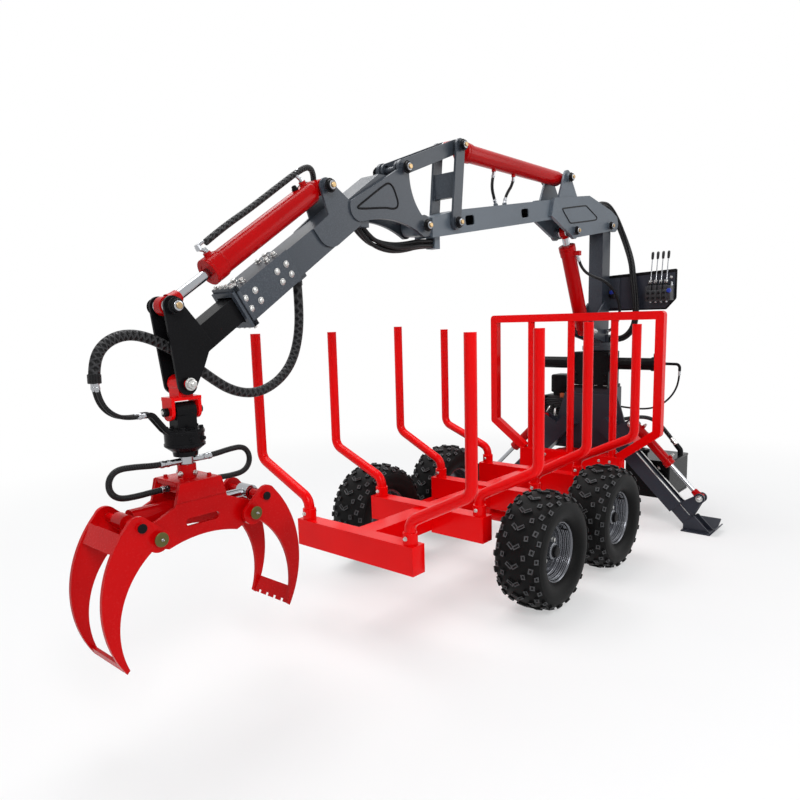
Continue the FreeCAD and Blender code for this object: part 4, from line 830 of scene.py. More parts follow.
def spun(outline, steps=72):
    """A closed outline of (along Y, radius) points swept round the Y axis."""
    bpy.ops.object.select_all(action="DESELECT")
    bpy.ops.mesh.primitive_plane_add(size=0.01)
    piece = bpy.context.object
    bpy.ops.object.mode_set(mode="EDIT")
    bpy.ops.mesh.select_all(action="SELECT")
    bpy.ops.mesh.merge(type="CENTER")
    bpy.ops.transform.translate(value=(0, outline[0][0], outline[0][1]))
    for (along, radius), (next_along, next_radius) in zip(outline, outline[1:] + outline[:1]):
        bpy.ops.mesh.extrude_region_move(
            TRANSFORM_OT_translate={"value": (0, next_along - along, next_radius - radius)})
    bpy.ops.mesh.select_all(action="SELECT")
    bpy.ops.mesh.remove_doubles(threshold=WELD)
    bpy.ops.mesh.select_all(action="SELECT")
    bpy.ops.mesh.spin(steps=steps, angle=2 * pi, center=(0, 0, 0), axis=(0, 1, 0))
    bpy.ops.mesh.select_all(action="SELECT")
    bpy.ops.mesh.remove_doubles(threshold=WELD)
    close_edit()
    return piece


def lug(wide, long, tall):
    """A tread block whose top has a rim and a sunken middle; the rim's top faces get paler rubber, a painted
    highlight.
    """
    piece = box((-wide / 2, -long / 2, -0.006), (wide / 2, long / 2, tall), 0.0014)
    only(piece)
    bpy.ops.object.mode_set(mode="EDIT")
    bpy.ops.mesh.select_all(action="DESELECT")
    bpy.ops.object.mode_set(mode="OBJECT")
    for face in piece.data.polygons:
        face.select = face.normal.z > 0.99 and face.center.z > tall - 0.0005
    bpy.ops.object.mode_set(mode="EDIT")
    bpy.ops.mesh.inset(thickness=min(wide, long) * 0.22, depth=-0.0026)
    bpy.ops.object.mode_set(mode="OBJECT")
    piece.data.materials.append(rubber)
    piece.data.materials.append(lug_rim_highlight)
    # The rim's top faces take the paler rubber: a painted highlight on the raised rim.
    for face in piece.data.polygons:
        if face.normal.z > 0.30 and face.center.z > tall - 0.0018:
            face.material_index = 1
    return piece


# %% One tyre, copied to the four wheels
def mirrored(half):
    """An outline and its mirror image, through its last point, which lies in the wheel's middle plane."""
    return half + [(-along, radius) for along, radius in reversed(half[:-1])]


wall = [(0.070, 0.1375), (0.084, 0.1420), (0.100, 0.1530), (0.112, 0.1700), (0.1170, 0.1860),
        (0.1186, 0.2040), (0.1172, 0.2190), (0.1140, 0.2290), (0.1135, 0.2320), (0.1110, 0.2330),
        (0.1070, 0.2395), (0.0990, 0.2480), (0.0880, 0.2555), (0.0700, 0.2615), (0.0460, 0.2660),
        (0.0200, 0.2680), (0.0000, 0.2684)]
hollow = [(-0.052, 0.1375), (-0.095, 0.1720), (-0.100, 0.2050), (-0.085, 0.2380), (0.0, 0.2560)]
carcass = spun(mirrored(wall) + mirrored(hollow))
arm, block, shoulder = lug(0.036, 0.018, 0.0108), lug(0.020, 0.024, 0.0100), lug(0.022, 0.026, 0.0085)
ROWS = 20
rubber_lugs = []


def lug_at(master, step, across, radius, lean, turn):
    """A lug on the tyre: round by a step, across by a distance, leaning out, and turned on its spot."""
    piece = doubled(master)
    piece.matrix_world = (Matrix.Rotation(2 * pi * step / ROWS, 4, "Y")
                          @ Matrix.Translation((0, across, radius))
                          @ Matrix.Rotation(-lean, 4, "X") @ Matrix.Rotation(pi / 2 + turn, 4, "Z"))
    rubber_lugs.append(piece)


for row in range(ROWS):
    for side in (-1, 1):
        lug_at(arm, row, side * 0.0145, 0.2682, side * 0.02, side * 0.62)
        lug_at(block, row + 0.5, side * 0.0510, 0.2648, side * 0.16, side * 0.15)
        lug_at(shoulder, row + 0.15, side * 0.0830, 0.2570, side * 0.36, side * -0.18)
        lug_at(block, row + 0.62, side * 0.1010, 0.2460, side * 0.80, 0.0)
carcass.data.materials.append(rubber)
tyre = joined([carcass] + rubber_lugs)
only(tyre)
bpy.ops.object.transform_apply(location=True, rotation=True, scale=True)
top_radius = max((v.co.x ** 2 + v.co.z ** 2) ** 0.5 for v in tyre.data.vertices)
print("tyre", len(tyre.data.polygons), "faces, radius", round(top_radius, 4))

# %% [markdown]
# The rim is a pressed steel dish. Its barrel steps down in rings towards the disc, and those rings catch the
# light, so they are part of the outline that is spun. Four nuts hold the disc to the hub, which ends in a
# pressed dust cap.

# %% Rim, hub cap and nuts
rim = spun([(-0.084, 0.1410), (-0.084, 0.1300), (-0.078, 0.1260), (-0.062, 0.1185), (-0.020, 0.1165),
            (0.002, 0.1165), (0.005, 0.1000), (0.018, 0.0860), (0.022, 0.0600), (0.022, 0.0174),
            (0.060, 0.0174), (0.062, 0.0200), (0.062, 0.0340), (0.058, 0.0400), (0.032, 0.0440),
            (0.030, 0.0480), (0.030, 0.0760), (0.0265, 0.0850), (0.014, 0.0980), (0.012, 0.1030),
            (0.012, 0.1120), (0.016, 0.1145), (0.028, 0.1145), (0.0310, 0.1185), (0.0325, 0.1165),
            (0.0350, 0.1165), (0.0365, 0.1195), (0.046, 0.1200), (0.0485, 0.1250), (0.0500, 0.1225),
            (0.0525, 0.1225), (0.0540, 0.1255), (0.062, 0.1260), (0.0650, 0.1305), (0.0665, 0.1280),
            (0.0690, 0.1280), (0.0705, 0.1305), (0.0775, 0.1315), (0.0815, 0.1345), (0.084, 0.1375),
            (0.0835, 0.1408), (0.080, 0.1424), (0.074, 0.1405), (0.070, 0.1365), (0.052, 0.1365),
            (0.048, 0.1240), (-0.048, 0.1240), (-0.052, 0.1365), (-0.070, 0.1365), (-0.078, 0.1410)])
dust_cap = turned([(0.060, 0.0300), (0.064, 0.0300), (0.066, 0.0270), (0.074, 0.0260), (0.0775, 0.0225),
                   (0.0785, 0.0120), (0.0788, 0.0030)], 28)
valve_stem = turned([(0.0, 0.0050), (0.006, 0.0050), (0.007, 0.0036), (0.020, 0.0036), (0.021, 0.0044),
                     (0.030, 0.0042), (0.031, 0.0020)], 12)
masters += [arm, block, shoulder, tyre, rim, dust_cap, valve_stem]
AXLE_X, WHEEL_Y, AXLE_HIGH = {"rear": -0.405, "front": 0.259}, 0.526, 0.2795
NUT_CIRCLE = 0.057
for fore, x in AXLE_X.items():
    for hand, side in (("left", 1), ("right", -1)):
        corner = hand + "_" + fore
        wheel, centre = "wheel_" + corner, Vector((x, side * WHEEL_Y, AXLE_HIGH))
        out = (0, side, 0)
        piece = copied(tyre, centre, (0, 0, 1))
        settled(piece, corner + "_knobby_tyre", wheel, rubber, second=lug_rim_highlight)
        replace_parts(piece, corner + "_tyre")
        piece = copied(rim, centre, (0, 0, 1), pi if side > 0 else 0.0)
        settled(piece, corner + "_stepped_rim", wheel, rim_grey)
        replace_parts(piece, corner + "_rim")
        settled(copied(dust_cap, centre, out), corner + "_hub_cap", wheel, black_paint)
        nuts = [(centre + Vector((NUT_CIRCLE * cos(a), side * 0.0298, NUT_CIRCLE * sin(a))), out)
                for a in (pi / 4, 3 * pi / 4, 5 * pi / 4, 7 * pi / 4)]
        scattered(medium_bolt, corner + "_wheel_nuts", wheel, nuts, zinc)
        settled(copied(valve_stem, centre + Vector((0.085, side * 0.050, 0.085)), out),
                corner + "_air_valve", wheel, rubber)
print("four wheels with tyres, rims, caps, nuts and air valves")

# %% [markdown]
# ## Cylinders
# The extension cylinder lies along the top of the dipper. Its barrel is turned like the other round pieces
# and laid along the beam's slope. Oil reaches the front end through a pipe in a woven sleeve that runs
# beside the barrel and stands on a steel elbow at each end.

# %% Extension cylinder's barrel
ALONG_BEAM = Vector((-cos(BEAM_SLOPE), 0, -sin(BEAM_SLOPE)))
OFF_BEAM = Vector((-sin(BEAM_SLOPE), 0, cos(BEAM_SLOPE)))
barrel = lathed([(0, 0.030), (0.008, 0.038), (0.014, 0.0425), (0.020, 0.043), (0.520, 0.043),
                 (0.5215, 0.0448), (0.5245, 0.0448), (0.526, 0.0435), (0.529, 0.0435), (0.5305, 0.0478),
                 (0.578, 0.0478), (0.5795, 0.0462), (0.5825, 0.0462), (0.584, 0.0478), (0.5875, 0.0478),
                 (0.589, 0.0462), (0.589, 0.0300), (0.5865, 0.0285), (0.5865, 0.0200)], 40,
                on_beam(-0.290, 0, RAM_RISE), ALONG_BEAM)
eye = lathed([(-0.038, 0.024), (-0.037, 0.0285), (-0.034, 0.030), (0.034, 0.030), (0.037, 0.0285),
              (0.038, 0.024)], 28, EXTENSION_LUG, (0, 1, 0))
ports = [lathed([(0.030, 0.014), (reach, 0.014), (reach + 0.002, 0.0125)], 20,
                on_beam(along, 0, RAM_RISE), OFF_BEAM) for along, reach in ((-0.262, 0.052), (0.262, 0.055))]
body = settled(joined([barrel, eye] + ports), "extension_cylinder", "dipper_arm", shaded_cylinder_red)
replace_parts(body, "extension_barrel")
plug = lathed([(0, 0.013), (0.006, 0.013), (0.007, 0.010), (0.014, 0.0095), (0.017, 0.006),
               (0.0175, 0.001)], 20, on_beam(-0.215, 0, 0.1945), OFF_BEAM)
settled(plug, "extension_breather", "dipper_arm", black_paint)

# %% Its sleeved pipe and elbows
bends = [(0.246, 0, 0.236), (0.150, 0, 0.241), (0.020, 0, 0.238), (-0.130, 0, 0.241), (-0.268, 0, 0.243),
         (-0.334, -0.008, 0.234), (-0.372, -0.038, 0.196), (-0.384, -0.092, 0.128), (-0.390, -0.112, 0.078),
         (-0.390, -0.112, 0.024), (-0.390, -0.0665, 0.024)]
pipe = hose("extension_pipe", [on_beam(a, -y, h) for a, y, h in bends], 0.0115, sleeve_weave)[0]
settled(pipe, "extension_pipe_sleeve", "dipper_arm", sleeve_weave)
elbow_nut = turned([(0, 0.0105), (0.012, 0.0105), (0.013, 0.009), (0.020, 0.0085)], 6)
masters.append(elbow_nut)
elbows = []
for along, lean, low, high in ((0.262, 0.020, 0.204, 0.243), (-0.262, 0.014, 0.200, 0.247)):
    bends = [(along, low), (along + lean * 0.2, low + 0.016), (along + lean, high - 0.014),
             (along + lean * 0.9, high), (along - lean * 0.6, high)]
    elbows.append(hose("elbow", [on_beam(a, 0, h) for a, h in bends], 0.0062, chrome)[0])
    elbows.append(copied(small_bolt, on_beam(along, 0, low + 0.002), OFF_BEAM))
    elbows.append(copied(elbow_nut, on_beam(along, 0, low), OFF_BEAM))
    elbows.append(copied(elbow_nut, on_beam(along + lean * 0.95, 0, high - 0.016), OFF_BEAM, 0.3))
settled(joined(elbows), "extension_elbows", "dipper_arm", chrome)
print("extension cylinder", len(body.data.polygons), "faces")

# %% [markdown]
# The other barrels are carried over as they are, and get what the model leaves out: a gland ring where each
# rod comes out, and a painted sleeve on the rod's eye. A gland is a short turned collar with a groove,
# slipped over the end of its barrel.

# %% Glands and rod ends
def gland(name, at, towards, radius, body):
    """A grooved collar that closes a barrel, with the small wiper ring that its rod slides through."""
    rim_radius = radius * 1.035
    collar = lathed([(-0.034, radius), (-0.033, rim_radius), (-0.020, rim_radius), (-0.019, radius),
                     (-0.016, radius), (-0.015, rim_radius), (0.0005, rim_radius),
                     (0.0025, radius * 0.96), (0.0025, radius * 0.62), (0.006, radius * 0.60),
                     (0.006, radius * 0.45)], 36, at, towards)
    return settled(collar, name, body, shaded_cylinder_red)


def in_plane(point):
    """A joint's place in the crane's middle plane."""
    return Vector((point[0], 0, point[1]))


lift_foot, lift_head = in_plane(LIFT_FOOT), in_plane(LIFT_TOP)
lift_way = (lift_head - lift_foot).normalized()
gland("lift_gland", lift_foot + lift_way * 0.590, lift_way, 0.0502, "lift_cylinder")
push_foot, push_head = in_plane(PUSH_BASE), in_plane(PUSH_EYE)
push_way = (push_head - push_foot).normalized()
gland("dipper_cylinder_gland", push_foot + push_way * 0.998, push_way, 0.0478, "push_cylinder")


def rod_end(name, at, towards, radius, body, reach):
    """A painted sleeve where a rod is screwed into its eye, with the eye's own ring."""
    neck = turned([(0, radius * 0.62), (0.004, radius * 0.72), (reach * 0.7, radius * 0.80),
                   (reach, radius * 0.95)], 24)
    ring = turned([(-0.019, radius * 0.80), (-0.0175, radius), (0.0175, radius), (0.019, radius * 0.80)], 28)
    way = Vector(towards)
    return settled(joined([placed(neck, Vector(at) - way * (reach + radius * 0.72), way),
                           placed(ring, at, (0, 1, 0))]), name, body, shaded_cylinder_red)


rod_end("lift_rod_end", lift_head, lift_way, 0.0315, "lift_ram", 0.018)
rod_end("dipper_rod_end", push_head, push_way, 0.0315, "push_ram", 0.023)
rod_end("extension_rod_end", on_beam(0.500, 0, RAM_RISE), ALONG_BEAM, 0.0315, "telescope", 0.040)

# %% [markdown]
# ## Hose fittings
# A hydraulic hose ends in a steel ferrule, pressed on in a long collar, then a hex nut. One ferrule is made
# for a hose of unit radius and scaled to each hose. It sits over the last few centimetres of the hose and
# rides on the body that this end of the hose is screwed to.

# %% Ferrules at the hose ends
def sized(master, end, inward, radius, turn=0.0):
    """A copy of a fitting at a hose's end, scaled to the hose and pointing to the hose's next point."""
    piece = copied(master, end, Vector(inward) - Vector(end), turn)
    piece.scale = (radius, radius, radius)
    return piece


def fitted(name, places, body, material=chrome):
    """A ferrule and a nut at each (end, next point, hose radius) place, joined into one piece."""
    made = []
    for end, inward, radius in places:
        made.append(sized(ferrule, end, inward, radius))
        made.append(sized(coupling_nut, end, inward, radius, 0.3))
    return settled(joined(made), name, body, material)


coupling_nut = turned([(-0.3, 1.15), (-0.15, 1.42), (0.85, 1.42), (1.0, 1.15)], 6)
masters.append(coupling_nut)
feed, loop = 0.0062, 0.0086            # radii of the hoses inside their woven covers
fitted("rotator_feed_fittings", [((-2.037, side * 0.014, 1.074), (-2.088, side * 0.014, 1.070), feed)
                                 for side in (-1, 1)], "hanger")
fitted("sleeve_end_fittings", [((-2.180, side * 0.011, 1.191), (-2.177, side * 0.012, 1.140), feed)
                               for side in (-1, 1)], "telescope")
fitted("grapple_loop_fittings", [
    ((-1.962, 0, 0.905), (-2.010, 0, 0.906), loop), ((-1.970, 0, 0.822), (-2.020, 0, 0.822), loop * 0.88),
    ((-1.832, 0, 0.905), (-1.785, 0, 0.907), loop), ((-1.824, 0, 0.822), (-1.780, 0, 0.822), loop * 0.88)],
    "grapple")
fitted("lift_hose_top_fitting", [((0.862, -0.066, 1.720), (0.867, -0.074, 1.673), 0.0078)], "lift_cylinder")
fitted("lift_hose_low_fitting", [((1.290, -0.064, 1.243), (1.290, -0.110, 1.252), 0.0078)], "mast")
fitted("dipper_cylinder_fittings", [((0.010, 0, 2.106), (-0.006, 0, 2.064), 0.0070),
                                    ((0.206, 0, 2.106), (0.192, 0, 2.066), 0.0070)], "push_cylinder")
fitted("boom_top_fittings", [((0.027, 0, 1.948), (0.012, 0, 1.976), 0.0070),
                             ((0.114, 0, 1.962), (0.124, 0, 1.996), 0.0070)], "main_boom")
fitted("slewing_hose_fittings", [((1.262, -0.575, 0.988), (1.262, -0.573, 0.925), 0.0060),
                                 ((1.262, -0.166, 0.742), (1.262, -0.258, 0.734), 0.0060)], "trailer")
fitted("suction_hose_fittings", [((1.500, -0.493, 0.469), (1.503, -0.440, 0.530), 0.0122),
                                 ((1.634, 0.310, 0.540), (1.705, 0.290, 0.538), 0.0122)], "trailer", zinc)
cuff = turned([(0, 1.02), (0.1, 1.12), (1.5, 1.12), (1.6, 1.02)], 24)
masters.append(cuff)
CUFF_RADIUS = 0.0178


def cuffed(name, end, inward, body):
    """A rubber cuff that closes one end of the beam's woven sleeve."""
    return settled(sized(cuff, end, inward, CUFF_RADIUS), name, body, hose_rubber)


cuffed("beam_sleeve_cuff_low", (-2.180, 0, 1.188), (-2.178, 0, 1.255), "telescope")
cuffed("beam_sleeve_cuff_high", (-1.372, 0, 1.522), (-1.366, 0, 1.410), "dipper_arm")
print("hose ends fitted")

# %% [markdown]
# ## Grapple and rotator
# The saddle over the grapple's cylinder is a folded plate welded onto the side plates, so a second plate
# stands a few millimetres proud of each. A plate starts as a flat polygon, is pulled out to its thickness
# and gets its edges softened.

# %% Plates and strips
def plate(outline, low_y, high_y, soft=0.0012):
    """A flat plate in the XZ plane, pulled out along Y."""
    bpy.ops.object.select_all(action="DESELECT")
    bpy.ops.mesh.primitive_circle_add(vertices=len(outline), radius=1, fill_type="NGON")
    piece = bpy.context.object
    for vertex, (x, z) in zip(piece.data.vertices, outline):
        vertex.co = (x, low_y, z)
    bpy.ops.object.mode_set(mode="EDIT")
    bpy.ops.mesh.select_all(action="SELECT")
    bpy.ops.mesh.extrude_region_move(TRANSFORM_OT_translate={"value": (0, high_y - low_y, 0)})
    close_edit()
    return bevelled(piece, soft)


def strip(a, b, wide, tall, soft=0.001):
    """A flat bar between two points."""
    length = (Vector(b) - Vector(a)).length
    piece = box((-wide / 2, -tall / 2, 0), (wide / 2, tall / 2, length), soft)
    return placed(piece, a, Vector(b) - Vector(a))


AXIS = -1.897                  # the rotator's axis along X
NECK_HIGH = 0.905              # the grapple's upper hose ports
saddle = [(AXIS - 0.094, 0.786), (AXIS + 0.094, 0.786), (AXIS + 0.079, 0.846), (AXIS + 0.072, 0.8485),
          (AXIS - 0.072, 0.8485), (AXIS - 0.079, 0.846)]
cheeks = [plate(saddle, side * 0.0775, side * 0.0825) for side in (-1, 1)]
cheeks.append(plate([(AXIS - 0.074, 0.8455), (AXIS + 0.074, 0.8455), (AXIS + 0.074, 0.8490),
                     (AXIS - 0.074, 0.8490)], -0.0800, 0.0800))
settled(joined(cheeks), "saddle_cheeks", "grapple", grapple_red)

# %% Washers, nipples and pin heads of the grapple
washer = turned([(0, 0.0230), (0.0035, 0.0230), (0.0045, 0.0218), (0.0046, 0.0100)], 28)
pin_head = turned([(0, 0.0150), (0.004, 0.0150), (0.0055, 0.0135), (0.0056, 0.0060)], 24)
masters += [washer, pin_head]
pivots = [((AXIS + end * 0.180, side * 0.1255, 0.700), (0, side, 0))
          for end in (-1, 1) for side in (-1, 1)]
scattered(washer, "claw_washers", "grapple", pivots, olive_zinc)
scattered(nipple, "claw_grease_nipples", "grapple",
          [((x, y + (0.004 if y > 0 else -0.004), z), way) for (x, y, z), way in pivots], chrome)
for name, end in (("front", 1), ("rear", -1)):
    scattered(pin_head, name + "_claw_pin_heads", "claw_" + name,
              [((AXIS + end * 0.235, side * 0.1175, 0.748), (0, side, 0)) for side in (-1, 1)], black_paint)
neck_ring = lathed([(0.0, 0.0226), (0.001, 0.0236), (0.026, 0.0236), (0.027, 0.0226)], 32,
                   (AXIS, 0, 0.8935), (0, 0, 1))
sockets = [lathed([(0.0215, 0.0108), (0.0615, 0.0108), (0.0625, 0.0095)], 20,
                  (AXIS, 0, NECK_HIGH), (end, 0, 0)) for end in (-1, 1)]
settled(joined([neck_ring] + sockets), "grapple_neck_collar", "grapple", chrome)
scattered(small_bolt, "neck_bolts", "grapple",
          [((AXIS + 0.031 * cos(a), 0.031 * sin(a), 0.864), (cos(a), sin(a), 0))
           for a in (radians(d) for d in (20, 110, 200, 290))], zinc)
scattered(small_bolt, "saddle_bolts", "grapple",
          [((AXIS + dx, dy, 0.849), (0, 0, 1)) for dx in (-0.052, 0.052) for dy in (-0.050, 0.050)],
          grapple_red)

# %% Rotator flanges and bolts
rings = [lathed([(0, 0.0655), (0.001, 0.0675), (0.009, 0.0675), (0.0105, 0.0655)], 48,
                (AXIS, 0, z), (0, 0, 1)) for z in (0.956, 0.9985)]
settled(joined(rings), "rotator_flanges", "rotator_body", black_paint)
scattered(small_bolt, "rotator_flange_bolts", "rotator_body",
          [((AXIS + 0.056 * cos(a), 0.056 * sin(a), 1.0125), (0, 0, 1))
           for a in (2 * pi * i / 8 + 0.2 for i in range(8))], black_paint)
scattered(small_bolt, "rotator_pin_bolts", "rotator_body",
          [((AXIS + end * 0.065, 0, 1.074), (end, 0, 0)) for end in (-1, 1)], zinc)
scattered(small_bolt, "rotator_port_plugs", "rotator_body",
          [((AXIS + 0.0655 * cos(a), 0.0655 * sin(a), 0.982), (cos(a), sin(a), 0))
           for a in (radians(-100), radians(-60), radians(60), radians(100))], black_paint)

# %% [markdown]
# ## Dipper sleeve
# The sleeve that the beam slides in ends in a thick frame that holds the front wear pads. Four bars make the
# frame, with bolts through its lower and upper bars.

# %% Frame at the sleeve's end
frame_bars = []
FRAME_WIDE, FRAME_TALL = 0.062, 0.078      # half width and half height of the frame
for low_y, high_y, low, high in ((-FRAME_WIDE, FRAME_WIDE, 0.056, FRAME_TALL),
                                 (-FRAME_WIDE, FRAME_WIDE, -FRAME_TALL, -0.056),
                                 (-FRAME_WIDE, -0.050, -FRAME_TALL, FRAME_TALL),
                                 (0.050, FRAME_WIDE, -FRAME_TALL, FRAME_TALL)):
    bar = box((low_y, low, 0), (high_y, high, 0.024), 0.0015)
    frame_bars.append(bar)
    bar.matrix_world = turned_to(Vector(on_beam(0.264, 0, 0)), Vector((0, 1, 0)), OFF_BEAM, ALONG_BEAM)
settled(joined(frame_bars), "sleeve_end_frame", "dipper_arm", crane_paint)
scattered(small_bolt, "sleeve_frame_bolts", "dipper_arm",
          [(on_beam(0.276, y, sign * FRAME_TALL), OFF_BEAM * sign) for sign in (-1, 1)
           for y in (-0.045, -0.015, 0.015, 0.045)], zinc)
print("grapple, rotator and sleeve dressed")

# %% [markdown]
# ## Control valve
# The valve is a row of cast sections bolted together, one for each movement of the crane. Each section has a
# bonnet with a fork, a thin chromed lever with a soft black grip, and two ports. A loop builds the same
# section four times along the row.

# %% Valve sections
VALVE_Y = [-0.3425 - 0.034 * i for i in range(4)]      # middles of the sections
LEVER_X, LEVER_FOOT = 1.347, 1.556
castings = [box((1.310, -0.3360, 1.438), (1.388, -0.3215, 1.530), 0.004),
            box((1.310, -0.4840, 1.438), (1.388, -0.4610, 1.530), 0.004)]
bonnets, forks, levers, grips, nipples, ports = [], [], [], [], [], []
lean = Vector((0, -0.055, 1)).normalized()
for y in VALVE_Y:
    low = max(y - 0.0175, -0.4725)
    castings.append(box((1.308, low, 1.434), (1.391, y + 0.0165, 1.506), 0.005))
    castings.append(box((1.318, low + 0.003, 1.500), (1.386, y + 0.0135, 1.536), 0.005))
    bonnets.append(lathed([(0, 0.0135), (0.010, 0.0135), (0.013, 0.0110), (0.020, 0.0085), (0.021, 0.0060)],
                          20, (LEVER_X, y, 1.532), (0, 0, 1)))
    for step in (-0.0075, 0.0045):
        forks.append(box((1.335, y + step, 1.548), (1.359, y + step + 0.003, 1.570), 0.0012))
    forks.append(lathed([(-0.011, 0.0032), (0.011, 0.0032)], 12, (LEVER_X, y, 1.563), (0, 1, 0)))
    levers.append(lathed([(0, 0.0048), (0.010, 0.0052), (0.014, 0.0040), (0.152, 0.0034)], 14,
                         (LEVER_X, y, LEVER_FOOT), lean))
    grips.append(lathed([(0.146, 0.0052), (0.148, 0.0074), (0.160, 0.0086), (0.178, 0.0090), (0.188, 0.0084),
                         (0.1925, 0.0062), (0.1945, 0.0026)], 20, (LEVER_X, y, LEVER_FOOT), lean))
    for z in (1.455, 1.486):
        ports.append(lathed([(-0.004, 0.0090), (0.006, 0.0090), (0.0065, 0.0070), (0.013, 0.0070),
                             (0.014, 0.0055)], 6, (1.308, y, z), (-1, 0, 0)))
    nipples.append(copied(small_bolt, (1.352, y, 1.4345), (0, 0, -1)))


def port_cap(length, top_radius, place):
    """A blue plastic cap over an open port, pointing to the rear."""
    return lathed([(0, 0.0125), (0.004, 0.0140), (length, 0.0140), (length + 0.004, top_radius),
                   (length + 0.005, 0.0040)], 20, place, (-1, 0, 0))


caps = [port_cap(0.018, 0.0115, (1.311, -0.478, 1.498)), port_cap(0.020, 0.0110, (1.366, -0.075, 1.504))]
nipples.append(lathed([(0, 0.0080), (0.010, 0.0080), (0.012, 0.0060), (0.024, 0.0058), (0.025, 0.0040)], 14,
                      (1.346, -0.4785, 1.529), (0, 0, 1)))
castings.append(box((1.362, -0.098, 1.470), (1.391, -0.052, 1.524), 0.003))
bonnets.append(lathed([(0, 0.0120), (0.012, 0.0135), (0.020, 0.0120), (0.022, 0.0060)], 20,
                      (1.364, -0.075, 1.481), (-1, 0, 0)))
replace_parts(settled(joined(castings), "valve_castings", "mast", casing), "control_valve")
settled(joined(bonnets + ports), "valve_bonnets", "mast", black_paint)
settled(joined(forks), "lever_forks", "mast", zinc)
settled(joined(levers), "lever_rods", "mast", chrome)
settled(joined(grips), "lever_grips", "mast", grip_plastic)
settled(joined(nipples), "valve_nipples", "mast", chrome)
settled(joined(caps), "port_caps", "mast", cap_blue)

# %% Border and bolts of the valve's guard
corners = [(0.040, 1.385), (0.040, 1.610), (-0.490, 1.632), (-0.490, 1.450), (-0.430, 1.385)]
edges = list(zip(corners, corners[1:] + corners[:1]))
edges.append(((0.040, 1.600), (-0.490, 1.622)))        # a second bar below the top one
border = [strip((1.395, *a), (1.395, *b), 0.010, 0.010) for a, b in edges]
settled(joined(border), "guard_border", "mast", black_paint)
guard_bolts = ((-0.075, 1.425), (-0.075, 1.575), (-0.46, 1.585), (-0.20, 1.590), (-0.455, 1.458))
scattered(small_bolt, "guard_bolts", "mast", [((1.3915, y, z), (-1, 0, 0)) for y, z in guard_bolts], zinc)
print("valve with", len(VALVE_Y), "levers")

# %% [markdown]
# ## Stabilisers
# Each leg is a square tube that slides in a wider one, pushed by a cylinder beside it. The places below are
# found along the leg: so far down it, so far out from its middle line, and so far along X.

# %% Stabiliser details
LEG_LEAN = radians(45)
LEG_X, LEG_Y, LEG_Z = 1.165, 0.120, 0.641      # the point that each leg is measured from
RAM_OUT = 0.150                                # from the leg's centre line to its cylinder's
RAM_TOP, RAM_HEAD, RAM_EYE = 0.140, 0.489, 0.757       # along the leg: top pin, gland and rod's pin
RAM_PORTS = (0.200, 0.452)
BAR_THICK = 0.003


def on_leg(along, out, side, dx=0.0):
    """A point on a leg as it lies in the frame."""
    down_y, down_z = sin(LEG_LEAN), -cos(LEG_LEAN)
    return Vector((LEG_X + dx, side * (LEG_Y + along * down_y - out * down_z),
                   LEG_Z + along * down_z + out * down_y))


def leg_bar(side, start, end, low_dx, high_dx, out):
    """A flat bar that lies on a leg's outer face."""
    a, b = on_leg(start, out, side, low_dx), on_leg(end, out, side, low_dx)
    way, off = (b - a).normalized(), (on_leg(start, out + 1, side, low_dx) - a).normalized()
    piece = box((0, 0, 0), (high_dx - low_dx, (b - a).length, BAR_THICK), 0.0008)
    piece.matrix_world = turned_to(a, Vector((1, 0, 0)), way, off)
    only(piece)
    bpy.ops.object.transform_apply(location=True, rotation=True, scale=True)
    bpy.ops.object.mode_set(mode="EDIT")
    close_edit()
    return piece


for name, side in (("left", 1), ("right", -1)):
    body = "stabiliser_" + name
    bars = [leg_bar(side, 0.303, 0.702, low, low + 0.0155, 0.0448) for low in (-0.0450, 0.0295)]
    settled(joined(bars), name + "_wear_strips", "trailer", zinc)
    pads = [leg_bar(side, 0.830, 0.862, -0.034, -0.004, 0.0348)]
    pads += [leg_bar(side, 0.715, 0.800, low, low + 0.006, 0.0348) for low in (-0.035, 0.029)]
    settled(joined(pads), name + "_leg_pads", body, zinc)
    top, head, eye = (on_leg(s, RAM_OUT, side) for s in (RAM_TOP, RAM_HEAD, RAM_EYE))
    way = (head - top).normalized()
    gland(name + "_leg_gland", head, way, 0.0342, "trailer")
    rod_end(name + "_leg_rod_end", eye, way, 0.0285, body, 0.040)
    scattered(pin_nut, name + "_leg_lower_nuts", body,
              [(on_leg(RAM_EYE, RAM_OUT, side, end * 0.028), (end, 0, 0)) for end in (-1, 1)], zinc)
    scattered(pin_nut, name + "_leg_upper_nuts", "trailer",
              [(on_leg(RAM_TOP, RAM_OUT, side, end * 0.050), (end, 0, 0)) for end in (-1, 1)], zinc)
    bosses, unions = [], []
    for s in RAM_PORTS:
        port = on_leg(s, RAM_OUT, side)
        outwards = on_leg(s, RAM_OUT + 1, side) - port
        bosses.append(lathed([(0.026, 0.0115), (0.043, 0.0115), (0.0445, 0.0100)], 18, port, outwards))
        unions.append(lathed([(0.0435, 0.0100), (0.052, 0.0100), (0.053, 0.0070), (0.062, 0.0070),
                              (0.063, 0.0050)], 6, port, outwards))
    settled(joined(bosses), name + "_leg_ports", "trailer", shaded_cylinder_red)
    settled(joined(unions), name + "_leg_unions", "trailer", zinc)
print("stabilisers dressed")

# %% [markdown]
# ## Crane base, tank and frame
# The slewing housing is bolted through its foot. The rack cylinder passes through two bolted flanges and
# ends in bolted covers. The tank has a black cap, a level glass and a drain plug. Each stake stands in a
# collar and is held by a cross bolt, and a cap closes each end of the bolster that carries it.

